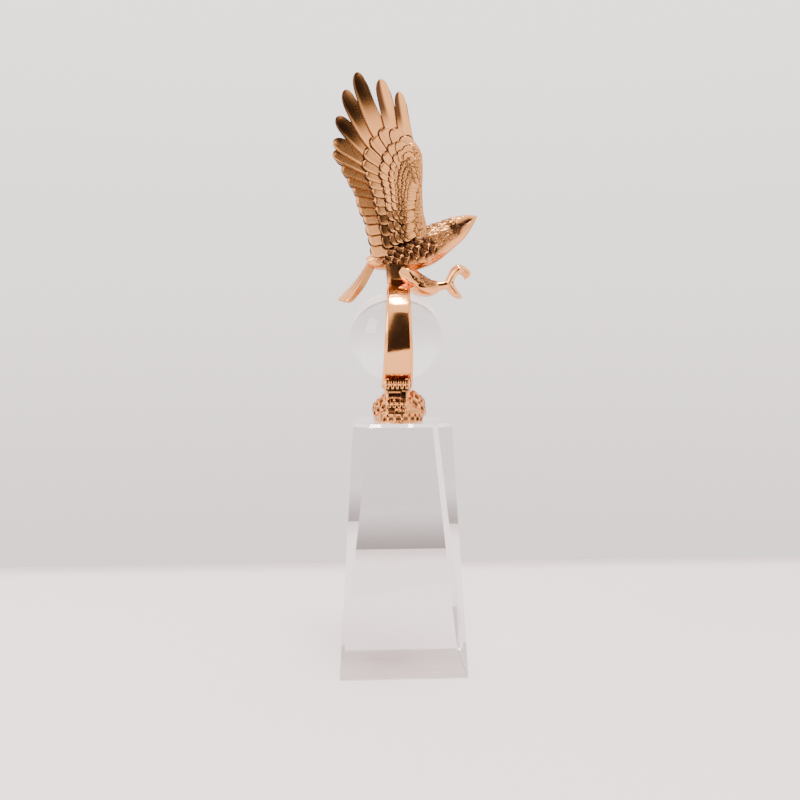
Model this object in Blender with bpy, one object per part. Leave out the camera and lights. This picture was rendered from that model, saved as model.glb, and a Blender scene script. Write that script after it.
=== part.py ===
"""Eagle trophy: a tapered crystal plinth, a casting of a walled mound with a crescent arm,
a crystal ball held inside the crescent, and a cast eagle with raised wings on the arm's tip.

World frame: Z up, origin at the middle of the plinth's underside, the eagle faces +X and
its near side, with the crescent arm, faces -Y. Sizes are metres.
"""
import math

import bmesh
import bpy
from mathutils import Matrix, Vector

# Gap that touching pieces keep to each other
JOINT_GAP = 0.0003

# Faces within this angle of each other are merged where shapes join
FLAT_ANGLE = math.radians(0.05)

# Edges sharper than this stay crisp in the shading
SHARP_ANGLE = math.radians(28)

# Crystal plinth, a square taper with a facet down each corner
PLINTH_BASE = 0.080
PLINTH_TOP = 0.062
PLINTH_HEIGHT = 0.158
CORNER_FACET_BASE = 0.0010
CORNER_FACET_TOP = 0.0100
TOP_CHAMFER = 0.0020
FOOT_CHAMFER = 0.0008

# The castings and the ball stand a little toward the tail from the plinth's middle
CASTING_OFFSET = 0.0027

# Crystal ball
BALL_RADIUS = 0.030
BALL_SEGMENTS = 24
SEAT_DEPTH = 0.0009

# Rock mound with its fortified walls, drawn on a grid with 24.1 squares to its height
MOUND_HEIGHT = 0.0241
MOUND_GRID = MOUND_HEIGHT / 24.1
MOUND_WIDTH = 0.0335
MOUND_FRONT = 0.0280
MOUND_BACK = 0.0145
MOUND_SIDES = 20
TOWER_WIDTH = 0.0134
TOWER_FRONT = 0.0248
TERRACE_WIDTH = 0.0125
TERRACE_FRONT = 0.0262
WALL_THICKNESS = 0.0014
WALL_HEIGHT = 0.0026
MERLON_HEIGHT = 0.0016
MERLON_PITCH = 0.0026

# Crescent arm round the near side of the ball
ARM_CLEARANCE = 0.0005
ARM_THICKNESS = 0.0048
ARM_WIDTH_TOP = 0.0140
ARM_WIDTH_FOOT = 0.0198
ARM_SHIFT = -0.00045
ARM_LEAN = 0.0012
ARM_RIM = 0.0016
ARM_STEPS = 20
ARM_START = math.radians(22)
ARM_END = math.radians(189)
PAD_DROP = 0.0009

# Eagle, drawn on a grid with 143.5 squares to its height
EAGLE_HEIGHT = 0.1435
GRID = EAGLE_HEIGHT / 143.5
FAR_WING_SWEEP = math.radians(1.3)
LEG_SPREAD = 5.6 * GRID
LEG_CLEARANCE = 0.0008

# Places that follow from the sizes above
MOUND_FLOOR = PLINTH_HEIGHT + JOINT_GAP
BALL_Z = MOUND_FLOOR + MOUND_HEIGHT - SEAT_DEPTH + JOINT_GAP + BALL_RADIUS
ARM_INNER = BALL_RADIUS + ARM_CLEARANCE
ARM_OUTER = ARM_INNER + ARM_THICKNESS
PAD_Z = BALL_Z + ARM_OUTER - PAD_DROP
EAGLE_SEAT = PAD_Z + JOINT_GAP


def clear_scene():
    """Remove every object that the file opened with."""
    for old in list(bpy.data.objects):
        bpy.data.objects.remove(old, do_unlink=True)


def new_collection(name):
    """A collection linked under the scene."""
    made = bpy.data.collections.new(name)
    bpy.context.scene.collection.children.link(made)
    return made


def new_material(name, colour, metallic, roughness, transmission=0.0, ior=1.45):
    """A Principled material with plain values."""
    made = bpy.data.materials.new(name)
    made.use_nodes = True
    shader = made.node_tree.nodes["Principled BSDF"]
    shader.inputs["Base Color"].default_value = (*colour, 1.0)
    shader.inputs["Metallic"].default_value = metallic
    shader.inputs["Roughness"].default_value = roughness
    shader.inputs["Transmission Weight"].default_value = transmission
    shader.inputs["IOR"].default_value = ior
    return made


def place(name, mesh, collection, material=None):
    """Link a mesh as a named object."""
    made = bpy.data.objects.new(name, mesh)
    collection.objects.link(made)
    if material:
        mesh.materials.clear()
        mesh.materials.append(material)
        mesh.shade_smooth()
        mesh.set_sharp_from_angle(angle=SHARP_ANGLE)
    return made


def as_guide(piece):
    """Show a cutter or a joined shape as wire and keep it out of renders."""
    piece.display_type = "WIRE"
    piece.hide_render = True
    return piece


def bake(bm, name):
    """Close a bmesh as a mesh of triangles that faces outward."""
    bmesh.ops.triangulate(bm, faces=bm.faces[:])
    bmesh.ops.recalc_face_normals(bm, faces=bm.faces[:])
    if bm.calc_volume(signed=True) < 0:
        bmesh.ops.reverse_faces(bm, faces=bm.faces[:])
    mesh = bpy.data.meshes.new(name)
    bm.to_mesh(mesh)
    bm.free()
    return mesh


def loft(name, rings):
    """Closed loft through rings of equal count, with flat ends."""
    bm = bmesh.new()
    rows = [[bm.verts.new(p) for p in ring] for ring in rings]
    count = len(rings[0])
    for lower, upper in zip(rows, rows[1:]):
        for j in range(count):
            k = (j + 1) % count
            bm.faces.new((lower[j], lower[k], upper[k], upper[j]))
    bm.faces.new(rows[0][::-1])
    bm.faces.new(rows[-1])
    return bake(bm, name)


def quilt(name, rings):
    """Closed loft whose quads split so that each raised grid point becomes a four-sided scale."""
    bm = bmesh.new()
    rows = [[bm.verts.new(p) for p in ring] for ring in rings]
    count = len(rings[0])
    for i, (lower, upper) in enumerate(zip(rows, rows[1:])):
        for j in range(count):
            k = (j + 1) % count
            a, b, c, d = lower[j], lower[k], upper[k], upper[j]
            if (i + j) % 2:
                bm.faces.new((a, b, c))
                bm.faces.new((a, c, d))
            else:
                bm.faces.new((a, b, d))
                bm.faces.new((b, c, d))
    bm.faces.new(rows[0][::-1])
    bm.faces.new(rows[-1])
    return bake(bm, name)


def block(name, low, high):
    """Box between two corners."""
    bm = bmesh.new()
    bmesh.ops.create_cube(bm, size=1.0)
    size = Vector(high) - Vector(low)
    middle = (Vector(high) + Vector(low)) / 2
    bmesh.ops.scale(bm, vec=size, verts=bm.verts)
    bmesh.ops.translate(bm, vec=middle, verts=bm.verts)
    return bake(bm, name)


def blend(a, b, t):
    """Straight blend from a to b."""
    return a + (b - a) * t


def along(points, t):
    """Point at share t of a list of points, on a smooth curve through all of them."""
    span = t * (len(points) - 1)
    i = min(int(span), len(points) - 2)
    f = span - i
    p1, p2 = Vector(points[i]), Vector(points[i + 1])
    p0 = Vector(points[i - 1]) if i > 0 else p1 * 2 - p2
    p3 = Vector(points[i + 2]) if i + 2 < len(points) else p2 * 2 - p1
    slope1, slope2 = (p2 - p0) / 2, (p3 - p1) / 2
    h1 = 2 * f ** 3 - 3 * f ** 2 + 1
    h2 = f ** 3 - 2 * f ** 2 + f
    return p1 * h1 + slope1 * h2 + p2 * (1 - h1) + slope2 * (f ** 3 - f ** 2)


def join_pieces(name, meshes, collection):
    """One closed mesh from overlapping closed meshes, by Boolean union."""
    source = place(name, meshes[0], collection)
    rest = bpy.data.collections.new(name + "_joined")
    collection.children.link(rest)
    for i, mesh in enumerate(meshes[1:]):
        place(f"{name}_piece_{i}", mesh, rest)
    union = source.modifiers.new("join", "BOOLEAN")
    union.operation = "UNION"
    union.operand_type = "COLLECTION"
    union.collection = rest
    union.solver = "EXACT"
    depsgraph = bpy.context.evaluated_depsgraph_get()
    mesh = bpy.data.meshes.new_from_object(source.evaluated_get(depsgraph))
    for piece in list(rest.objects):
        bpy.data.objects.remove(piece, do_unlink=True)
    bpy.data.objects.remove(source, do_unlink=True)
    bpy.data.collections.remove(rest)
    return outer_skin(mesh)


def outer_skin(mesh):
    """Fill the small sealed hollows left between joined shapes, and merge their flat faces."""
    bm = bmesh.new()
    bm.from_mesh(mesh)
    waiting = set(bm.faces)
    while waiting:
        island, edge = set(), [waiting.pop()]
        while edge:
            face = edge.pop()
            island.add(face)
            near = {other for side in face.edges for other in side.link_faces} & waiting
            waiting -= near
            edge.extend(near)
        volume = sum(f.calc_area() * f.normal.dot(f.calc_center_median()) for f in island) / 3
        if volume < 0:
            bmesh.ops.delete(bm, geom=list(island), context="FACES")
    loose = [v for v in bm.verts if not v.link_faces]
    bmesh.ops.delete(bm, geom=loose, context="VERTS")
    bmesh.ops.dissolve_limit(bm, angle_limit=FLAT_ANGLE, verts=bm.verts[:], edges=bm.edges[:])
    bmesh.ops.triangulate(bm, faces=bm.faces[:])
    bm.to_mesh(mesh)
    bm.free()
    return mesh


def cut(target, cutter, name):
    """Boolean difference kept as a modifier."""
    step = target.modifiers.new(name, "BOOLEAN")
    step.operation = "DIFFERENCE"
    step.object = as_guide(cutter)
    step.solver = "EXACT"


# Crystal

def plinth_ring(z, inset):
    """Outline of the plinth at height z: a square with a facet across each corner."""
    share = z / PLINTH_HEIGHT
    half = blend(PLINTH_BASE, PLINTH_TOP, share) / 2 - inset
    inner = half + inset * (2 - math.sqrt(2)) - blend(CORNER_FACET_BASE, CORNER_FACET_TOP, share)
    quarter = [Vector((half, -inner, z)), Vector((half, inner, z))]
    return [Matrix.Rotation(math.radians(90 * turn), 4, "Z") @ p for turn in range(4) for p in quarter]


def make_plinth(parts, glass):
    """Square taper with corner facets that widen upward, chamfered at its top and foot."""
    levels = (
        (0.0, FOOT_CHAMFER), (FOOT_CHAMFER, 0.0), (PLINTH_HEIGHT - TOP_CHAMFER, 0.0),
        (PLINTH_HEIGHT, TOP_CHAMFER),
    )
    rings = [plinth_ring(z, inset) for z, inset in levels]
    return place("crystal_plinth", loft("crystal_plinth", rings), parts, glass)


def ball_mesh(name, radius):
    """Faceted sphere about the ball's centre."""
    bm = bmesh.new()
    bmesh.ops.create_uvsphere(bm, u_segments=BALL_SEGMENTS, v_segments=BALL_SEGMENTS // 2, radius=radius)
    bmesh.ops.translate(bm, vec=(-CASTING_OFFSET, 0.0, BALL_Z), verts=bm.verts)
    return bake(bm, name)


# Mound and arm

def mound_ring(z):
    """Outline of the rock at height z over the plinth: a soft oval, deeper at the front."""
    share = z / MOUND_HEIGHT
    foot = 0.955 + 0.030 * min(share / 0.2, 1.0)
    narrowing = 0.63 * (max(share - 0.25, 0.0) / 0.75) ** 1.3
    half = MOUND_WIDTH / 2 * (foot - narrowing)
    front = MOUND_FRONT * (1.0 - 0.21 * share)
    back = MOUND_BACK * (1.0 - 0.34 * share)
    shift = MOUND_WIDTH * (0.030 + 0.030 * math.sin(math.pi * share)) - CASTING_OFFSET
    ring = []
    for j in range(MOUND_SIDES):
        turn = 2 * math.pi * j / MOUND_SIDES
        c, s = math.cos(turn), math.sin(turn)
        x = math.copysign(abs(c) ** 0.85, c) * half
        y = math.copysign(abs(s) ** 0.85, s) * (back if s > 0 else front)
        ring.append(Vector((shift + x, y, MOUND_FLOOR + z)))
    return ring


def mound_surface(turn, z):
    """Point of the rock's surface at a turn from +X and a height over the plinth."""
    ring = mound_ring(z)
    at = (turn / (2 * math.pi)) % 1.0 * MOUND_SIDES
    i = int(at) % MOUND_SIDES
    return ring[i].lerp(ring[(i + 1) % MOUND_SIDES], at - int(at))


def rock():
    """Lofted rock, chipped by pulling alternate points in."""
    levels = [0.0, 0.14, 0.32, 0.50, 0.68, 0.86, 1.0]
    rings = []
    for i, share in enumerate(levels):
        ring = mound_ring(share * MOUND_HEIGHT)
        if 0 < i < len(levels) - 1:
            centre = sum(ring, Vector()) / len(ring)
            ring = [p.lerp(centre, 0.035 if (i + j) % 2 else 0.0) for j, p in enumerate(ring)]
        rings.append(ring)
    return quilt("rock", rings)


# Walls on the rock: name, turns of the two ends in degrees, heights of the start, the middle
# and the end in squares, and the number of merlons
WALLS = (
    ("front_wall", 216, 324, 0.9, 1.8, 0.9, 10),
    ("left_wall", 255, 197, 13.0, 8.4, 3.6, 6),
    ("left_ridge", 236, 184, 17.0, 12.0, 6.0, 6),
    ("right_wall", 287, 347, 13.4, 8.2, 4.0, 6),
    ("right_ridge", 306, 370, 16.6, 11.4, 6.4, 6),
)


def wall(name, start, end, low_start, low_mid, low_end, bays):
    """Crenellated wall that follows the rock from one turn to another, in degrees."""
    def station(t):
        turn = math.radians(blend(start, end, t))
        low = blend(low_start, low_end, t) + (low_mid - (low_start + low_end) / 2) * 4 * t * (1 - t)
        point = mound_surface(turn, low * MOUND_GRID)
        out = Vector((point.x + CASTING_OFFSET, point.y * 0.7, 0.0)).normalized()
        return point, out

    def run(part_name, shares, reach, back, bottom, top):
        rings = []
        for t in shares:
            point, out = station(t)
            outer, inner = point + out * reach, point - out * back
            lowest = MOUND_FLOOR + WALL_THICKNESS / 10 - point.z
            foot, head = Vector((0, 0, max(bottom, lowest))), Vector((0, 0, top))
            rings.append([outer + foot, outer + head, inner + head, inner + foot])
        return loft(part_name, rings)

    steps = max(bays // 2, 3)
    shares = [i / steps for i in range(steps + 1)]
    thick = WALL_THICKNESS * 0.7, WALL_THICKNESS * 1.5
    pieces = [run(name, shares, *thick, -WALL_HEIGHT * 0.4, WALL_HEIGHT)]
    for i in range(bays):
        shares = ((i + 0.19) / bays, (i + 0.81) / bays)
        low, high = WALL_HEIGHT * 0.6, WALL_HEIGHT + MERLON_HEIGHT
        thick = WALL_THICKNESS * 0.95, WALL_THICKNESS * 0.25
        pieces.append(run(f"{name}_merlon_{i}", shares, *thick, low, high))
    return pieces


# Flat-fronted storeys: name, middle, foot, eaves, parapet height and overhang in squares
STOREYS = (
    ("terrace", -1.3, 6.6, 9.6, 3.4, 0.6),
    ("tower", -0.9, 9.0, 20.2, 4.4, 1.3),
)

# Openings cut in the front: name, storey, left and right of its middle, bottom and top
OPENINGS = (
    ("gate_left", "terrace", -5.4, -1.2, 7.4, 9.2), ("gate_right", "terrace", 1.2, 5.4, 7.4, 9.2),
    ("window_wide", "tower", -5.6, 2.2, 15.6, 18.8), ("window_tall", "tower", 3.2, 5.8, 15.0, 19.4),
)


def storey(name, middle, foot, eaves, parapet, overhang, width, front):
    """Flat-fronted storey with an eaves slab and tall merlons along its front."""
    x0 = -CASTING_OFFSET + middle * MOUND_GRID - width / 2
    x1 = x0 + width
    reach = overhang * MOUND_GRID
    back = -front / 2
    low, high = MOUND_FLOOR + foot * MOUND_GRID, MOUND_FLOOR + eaves * MOUND_GRID
    slab_top = high + WALL_THICKNESS
    pieces = [
        block(name, (x0, -front, low), (x1, back, high + WALL_THICKNESS / 2)),
        block(name + "_eaves", (x0 - reach, -front - reach, high), (x1 + reach, back, slab_top)),
    ]
    run = width + reach * 2
    bays = max(round(run / MERLON_PITCH), 2)
    top = high + (parapet + 1.5) * MOUND_GRID
    for i in range(bays):
        left = x0 - reach + run * (i + 0.19) / bays
        right = x0 - reach + run * (i + 0.81) / bays
        low_front = (left, -front - reach * 0.7, high + WALL_THICKNESS / 2)
        pieces.append(block(f"{name}_merlon_{i}", low_front, (right, -front + WALL_THICKNESS / 2, top)))
    back_wall = (x0, -front + WALL_THICKNESS / 3, high), (x1, back, slab_top + parapet * 0.55 * MOUND_GRID)
    pieces.append(block(name + "_parapet", *back_wall))
    return pieces


def arm_centre(turn):
    """Sideways place of the arm's middle at a turn from the bottom of the ball."""
    height = (1 - math.cos(turn)) / 2
    return -CASTING_OFFSET + ARM_SHIFT + ARM_LEAN * height ** 6


def arm():
    """Crescent swept round the ball: flat polished face with a bevelled rim on each side."""
    rings = []
    for i in range(ARM_STEPS + 1):
        turn = blend(ARM_START, ARM_END, i / ARM_STEPS)
        width = blend(ARM_WIDTH_FOOT, ARM_WIDTH_TOP, (1 - math.cos(turn)) / 2)
        middle = arm_centre(turn)
        out = Vector((0.0, -math.sin(turn), -math.cos(turn)))
        ring = []
        profile = (
            (-0.5 * width, ARM_INNER), (0.5 * width, ARM_INNER), (0.5 * width, ARM_OUTER - ARM_RIM * 0.7),
            (0.5 * width - ARM_RIM, ARM_OUTER), (ARM_RIM - 0.5 * width, ARM_OUTER),
            (-0.5 * width, ARM_OUTER - ARM_RIM * 0.7),
        )
        for across, radius in profile:
            ring.append(Vector((middle + across, 0.0, BALL_Z)) + out * radius)
        rings.append(ring)
    return loft("arm", rings)


def make_stand(parts, guides, metal):
    """Mound, walls, gate tower and crescent arm as one casting."""
    sizes = {"terrace": (TERRACE_WIDTH, TERRACE_FRONT), "tower": (TOWER_WIDTH, TOWER_FRONT)}
    pieces = [rock(), arm()]
    for row in STOREYS:
        pieces += storey(*row, *sizes[row[0]])
    for row in WALLS:
        pieces += wall(*row)
    stand = place("metal_stand", join_pieces("stand", pieces, guides), parts, metal)

    seat = place("ball_seat_cutter", ball_mesh("ball_seat_cutter", BALL_RADIUS + JOINT_GAP), guides)
    cut(stand, seat, "ball_seat")
    low = (-CASTING_OFFSET - ARM_OUTER, -ARM_OUTER, PAD_Z)
    high = (-CASTING_OFFSET + ARM_OUTER, ARM_OUTER, PAD_Z + ARM_OUTER)
    cut(stand, place("pad_cutter", block("pad_cutter", low, high), guides), "pad")
    middles = {row[0]: row[1] for row in STOREYS}
    for name, owner, left, right, bottom, top in OPENINGS:
        middle = -CASTING_OFFSET + middles[owner] * MOUND_GRID
        share = sizes[owner][0] / 2 / 6.7
        face = -sizes[owner][1]
        low = (middle + left * share, face - WALL_THICKNESS, MOUND_FLOOR + bottom * MOUND_GRID)
        high = (middle + right * share, face + WALL_THICKNESS * 0.8, MOUND_FLOOR + top * MOUND_GRID)
        cut(stand, place(name, block(name, low, high), guides), name)
    return stand


# Eagle. Points below are squares of the eagle's grid: x toward the beak, y sideways,
# z up from its seat on the arm.

# Tips of the near wing's flight feathers in side view, the leading one first
WING_TIPS = (
    (1.1, 119.2), (-10.6, 126.7), (-25.6, 130.5), (-33.1, 119.5), (-38.0, 102.9), (-39.9, 88.5),
    (-40.2, 81.0), (-35.0, 71.6), (-31.4, 65.1), (-28.0, 59.0), (-26.0, 51.6), (-24.2, 46.0),
    (-21.4, 40.5), (-19.6, 33.0), (-17.8, 26.5), (-16.2, 19.0),
)
WRIST, BEND, ELBOW = Vector((10.5, 66.0)), Vector((3.0, 60.0)), Vector((6.0, 27.0))
LEADING_EDGE = (
    (11.5, 88.0), (15.6, 81.0), (16.4, 70.0), (16.1, 58.0), (16.8, 45.0), (18.7, 36.0), (19.5, 20.0),
)


def to_world(point):
    """Grid point to world metres."""
    return Vector((point[0] * GRID - CASTING_OFFSET, point[1] * GRID, EAGLE_SEAT + point[2] * GRID))


def feather_root(i):
    """Root of flight feather i on the bone line, for any share between feathers."""
    t = (i / (len(WING_TIPS) - 1)) ** 1.7
    return WRIST * (1 - t) ** 2 + BEND * 2 * t * (1 - t) + ELBOW * t * t


def feather_tip(i):
    """Tip of flight feather i, for any share between feathers."""
    k = min(int(i), len(WING_TIPS) - 2)
    return Vector(WING_TIPS[k]).lerp(Vector(WING_TIPS[k + 1]), i - k)


def wing_point(x, z, out):
    """Grid point of the near wing: x and z in its side view, out from its middle surface."""
    reach = math.hypot(x - 8.0, z - 60.0)
    y = 7.8 + 0.8 * (reach / 80.0) ** 2 + out
    return Vector((x, -y, z))


def plate(name, root, tip, half_width, shape, heights, floor, bow=0.0):
    """Feather or covert plate on the near wing.

    shape holds (share of length, share of half width); heights are (left edge, right edge)
    over the wing's middle surface at the root, and again at the tip. bow bends it back in the middle.
    """
    length = tip - root
    across = Vector((-length.y, length.x)).normalized()
    rings = []
    for t, width in shape:
        centre = root + length * t + across * bow * 4 * t * (1 - t)
        left, right = (blend(a, b, t) for a, b in zip(*heights))
        ring = []
        for side, out in ((1.0, floor), (1.0, left), (-1.0, right), (-1.0, floor)):
            p = centre + across * side * half_width * width
            ring.append(to_world(wing_point(p.x, p.y, out)))
        rings.append(ring)
    return loft(name, rings)


# Outlines of feathers: share of the length, share of the half width
FLIGHT_SHAPE = ((0.0, 0.66), (0.45, 0.98), (0.80, 0.80), (0.955, 0.54), (1.0, 0.20))
COVERT_SHAPE = ((0.0, 0.74), (0.76, 1.0), (1.0, 0.34))


def flight_feathers():
    """Shingled flight feathers of the near wing, the leading one on top."""
    meshes = []
    last = len(WING_TIPS) - 1
    heights = ((0.6, -0.3), (1.2, -0.3))
    for i in range(last + 1):
        half = 5.6 - 1.4 * math.exp(-1.2 * i)
        root, tip = feather_root(i), feather_tip(i)
        bow = 5.0 * math.exp(-((i - 2.6) / 1.6) ** 2)
        meshes.append(plate(f"flight_{i}", root, tip, half, FLIGHT_SHAPE, heights, -0.7, bow))
    return meshes


def covert_rows():
    """Rows of overlapping coverts, each tip raised over the row outside it."""
    rows = (
        ("greater", 13, 0.0, 0.47, 0.65, 0.16, 4.0, ((0.8, 0.5), (1.7, 1.1))),
        ("median", 10, 0.3, 0.34, 0.43, 0.0, 4.0, ((1.4, 1.0), (2.5, 1.8))),
    )
    meshes = []
    for name, count, first, share_hand, share_arm, share_root, half, heights in rows:
        for j in range(count):
            i = blend(first, len(WING_TIPS) - 1.4, j / (count - 1))
            share = blend(share_hand, share_arm, min(max((i - 1.5) / 4.0, 0.0), 1.0))
            start, end = feather_root(i), feather_tip(i)
            root = start.lerp(end, share_root)
            tip = start.lerp(end, share)
            meshes.append(plate(f"{name}_{j}", root, tip, half, COVERT_SHAPE, heights, -0.3))
    return meshes


# Section of the pad: share of its chord behind the edge, share of its thickness outward
PAD_PROFILE = (
    (0.0, 0.0), (-0.10, 0.66), (-0.34, 0.92), (-0.66, 0.80), (-1.0, 0.10), (-0.70, -0.50), (-0.34, -0.66),
    (-0.10, -0.48),
)


def shoulder_pad():
    """Thick leading edge of the wing, from the wrist down into the shoulder, quilted with scales."""
    rings = []
    steps = 13
    for i in range(steps + 1):
        t = i / steps
        edge = along(LEADING_EDGE, t)
        ends = min(1.0, (1.0 - t) * 4.0 + 0.25)
        chord = blend(8.0, 15.0, min(t * 1.6, 1.0)) * ends
        fat = blend(1.5, 4.2, min(t * 1.2, 1.0) ** 0.7) * ends
        ring = []
        for j, (back, out) in enumerate(PAD_PROFILE):
            raised = 0.35 if (i + j) % 2 == 0 else -0.35
            relief = raised * ends if out > 0.5 else 0.0
            ring.append(to_world(wing_point(edge.x + back * chord, edge.y, 0.3 + out * fat + relief)))
        rings.append(ring)
    return quilt("shoulder_pad", rings)


def mirrored(mesh, name):
    """The far wing: the near one mirrored in the eagle's middle plane and swept forward a little."""
    bm = bmesh.new()
    bm.from_mesh(mesh)
    bmesh.ops.scale(bm, vec=(1.0, -1.0, 1.0), verts=bm.verts)
    bmesh.ops.reverse_faces(bm, faces=bm.faces[:])
    pivot = to_world((ELBOW.x, 0.0, ELBOW.y))
    bmesh.ops.rotate(bm, cent=pivot, matrix=Matrix.Rotation(FAR_WING_SWEEP, 3, "Y"), verts=bm.verts)
    made = bpy.data.meshes.new(name)
    bm.to_mesh(made)
    bm.free()
    return made


# Body stations: x, z of the middle, half height across the axis, half width, scale relief
BODY = (
    (-18.0, 12.5, 3.8, 4.6, 0.0), (-12.0, 13.8, 6.4, 7.6, 0.5), (-4.0, 15.6, 9.4, 10.2, 0.9),
    (5.0, 18.0, 11.6, 11.8, 1.0), (14.0, 21.5, 12.6, 12.2, 1.0), (21.0, 24.5, 12.0, 11.2, 0.9),
    (27.0, 28.0, 11.0, 9.4, 0.7), (33.0, 31.5, 9.6, 8.0, 0.5), (39.0, 35.0, 8.2, 6.6, 0.3),
    (44.0, 38.3, 6.1, 5.0, 0.0), (48.6, 41.2, 3.2, 2.7, 0.0), (52.0, 43.2, 0.5, 0.5, 0.0),
)
BODY_TILT = math.radians(30)
BODY_SIDES = 16


def body():
    """Body, neck, head and beak in one loft, quilted with four-sided scales."""
    rings = []
    steps = 16
    for i in range(steps + 1):
        x, z, high, wide, relief = along_values(BODY, i / steps)
        head = min(max((x - 36.0) / 8.0, 0.0), 1.0)
        ring = []
        for j in range(BODY_SIDES):
            turn = 2 * math.pi * j / BODY_SIDES
            c, s = math.cos(turn), math.sin(turn)
            raised = 0.5 if (i + j) % 2 == 0 else -0.5
            cheek = 1.0 - 0.20 * head * math.exp(-((s - 0.15) / 0.30) ** 2)
            rise = high * s + relief * raised * s
            side = (wide * cheek + relief * raised) * c
            ring.append(to_world((x - math.sin(BODY_TILT) * rise, side, z + math.cos(BODY_TILT) * rise)))
        rings.append(ring)
    return quilt("body", rings)


def along_values(table, t):
    """Row of values at share t of a table, read straight between its rows."""
    span = t * (len(table) - 1)
    i = min(int(span), len(table) - 2)
    f = span - i
    return [a + (b - a) * f for a, b in zip(table[i], table[i + 1])]


def tube(name, points, radii, sides):
    """Tapered tube through grid points."""
    rings = []
    steps = len(points) - 1
    for i, point in enumerate(points):
        ahead = Vector(points[min(i + 1, steps)]) - Vector(points[max(i - 1, 0)])
        ahead.normalize()
        side = Vector((0.0, 1.0, 0.0)) - ahead * ahead.y
        side.normalize()
        up = ahead.cross(side)
        ring = []
        for j in range(sides):
            turn = 2 * math.pi * (j + 0.5) / sides
            offset = side * math.cos(turn) * radii[i] + up * math.sin(turn) * radii[i]
            ring.append(to_world(Vector(point) + offset))
        rings.append(ring)
    return loft(name, rings)


def leg(side):
    """Feathered thigh, bare shank and a clutching foot with four clawed toes."""
    y = side * LEG_SPREAD / GRID
    tag = "near" if side < 0 else "far"
    thigh = ((3.0, y * 0.8, 8.0), (8.0, y, 4.4), (14.0, y, -0.6), (20.5, y, -3.0), (26.2, y, -2.2))
    shank = ((22.0, y, -2.4), (27.5, y, -1.8), (33.0, y, -0.6), (36.0, y, 0.6))
    meshes = [
        tube(f"thigh_{tag}", thigh, (4.6, 5.8, 6.2, 5.4, 3.9), 8),
        tube(f"shank_{tag}", shank, (3.0, 2.0, 1.8, 2.2), 6),
    ]
    toes = ((-2.6, 0.0), (0.0, 1.4), (2.6, 0.0))
    for k, (spread, lift) in enumerate(toes):
        points = (
            (33.4, y + spread * 0.2, -0.5), (35.6, y + spread * 0.6, 4.4 + lift * 0.4),
            (38.6, y + spread, 8.0 + lift), (42.6, y + spread * 1.05, 8.0 + lift * 0.8),
            (45.6 + lift * 0.6, y + spread * 1.05, 5.0 + lift), (45.0 + lift * 0.9, y + spread, 3.0 + lift),
        )
        meshes.append(tube(f"toe_{tag}_{k}", points, (1.7, 1.5, 1.6, 1.3, 0.8, 0.2), 5))
    points = ((33.0, y, 0.0), (35.6, y, -3.4), (38.2, y, -6.6), (40.6, y, -8.6), (41.4, y, -10.2))
    meshes.append(tube(f"hind_toe_{tag}", points, (1.7, 1.6, 1.4, 0.8, 0.2), 5))
    return meshes


TAIL_FEATHERS = 7
TAIL_ROOT = Vector((-13.5, 0.0, 14.0))
TAIL_DROP = math.radians(47)
TAIL_SPREAD = math.radians(17)
TAIL_LENGTH = 34.5


def tail():
    """Arched fan of tail feathers, the middle one on top."""
    meshes = []
    down = Vector((-math.cos(TAIL_DROP), 0.0, -math.sin(TAIL_DROP)))
    under = Vector((math.sin(TAIL_DROP), 0.0, -math.cos(TAIL_DROP)))
    for k in range(TAIL_FEATHERS):
        share = (k - (TAIL_FEATHERS - 1) / 2) / ((TAIL_FEATHERS - 1) / 2)
        spread = TAIL_SPREAD * share
        rings = []
        for t, width in ((0.0, 0.5), (0.4, 0.8), (0.8, 1.0), (0.95, 0.6), (1.0, 0.2)):
            length = (TAIL_LENGTH - 1.2 * share ** 2) * t
            arch = 3.6 * share ** 2 * t ** 1.4 + 1.6 * math.sin(math.pi * t)
            middle = TAIL_ROOT + down * length * math.cos(spread) + under * (arch - 2.2 * (1 - t))
            middle.y = length * math.sin(spread)
            lean = Vector((0.0, 1.0, 0.0)) + under * share * 0.75 * t
            lean.normalize()
            top = lean.cross(down) * (1 if lean.cross(down).z > 0 else -1)
            lift = 0.45 * (1 - abs(share)) + 1.0 * (1 - t)
            low = -1.9 * width - 4.4 * (1 - t) ** 1.3
            ring = []
            for a, h in ((-1.0, low), (-1.0, 0.1), (0.0, 0.75), (1.0, 0.1), (1.0, low)):
                ring.append(to_world(middle + lean * a * 3.3 * width + top * (h + lift)))
            rings.append(ring)
        meshes.append(loft(f"tail_{k}", rings))
    return meshes


def seat_block():
    """Short block under the belly, as wide as the arm's tip that it stands on."""
    middle = (arm_centre(math.pi) + CASTING_OFFSET) / GRID
    half = ARM_WIDTH_TOP / GRID / 2
    rings = []
    levels = ((0.0, half - 0.1, 7.8, 5.4), (4.0, half, 8.2, 6.4), (12.0, half + 1.0, 8.9, 8.0))
    for z, wide, near, far in levels:
        corners = ((-wide, -near), (wide, -near), (wide, far), (-wide, far))
        rings.append([to_world((middle + x, y, z)) for x, y in corners])
    return loft("seat_block", rings)


def make_eagle(parts, guides, metal):
    """Whole bird as one casting."""
    near = join_pieces("near_wing", flight_feathers() + covert_rows() + [shoulder_pad()], guides)
    far = mirrored(near, "far_wing")
    pieces = [body(), near, far, seat_block()] + leg(-1) + leg(1) + tail()
    eagle = place("eagle", join_pieces("eagle", pieces, guides), parts, metal)
    middle, half = arm_centre(math.pi), ARM_WIDTH_TOP / 2 + LEG_CLEARANCE
    low = (middle - half, -ARM_OUTER, EAGLE_SEAT - ARM_OUTER)
    high = (middle + half, ARM_OUTER, EAGLE_SEAT)
    cut(eagle, place("arm_clearance", block("arm_clearance", low, high), guides), "arm_clearance")
    return eagle


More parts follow.
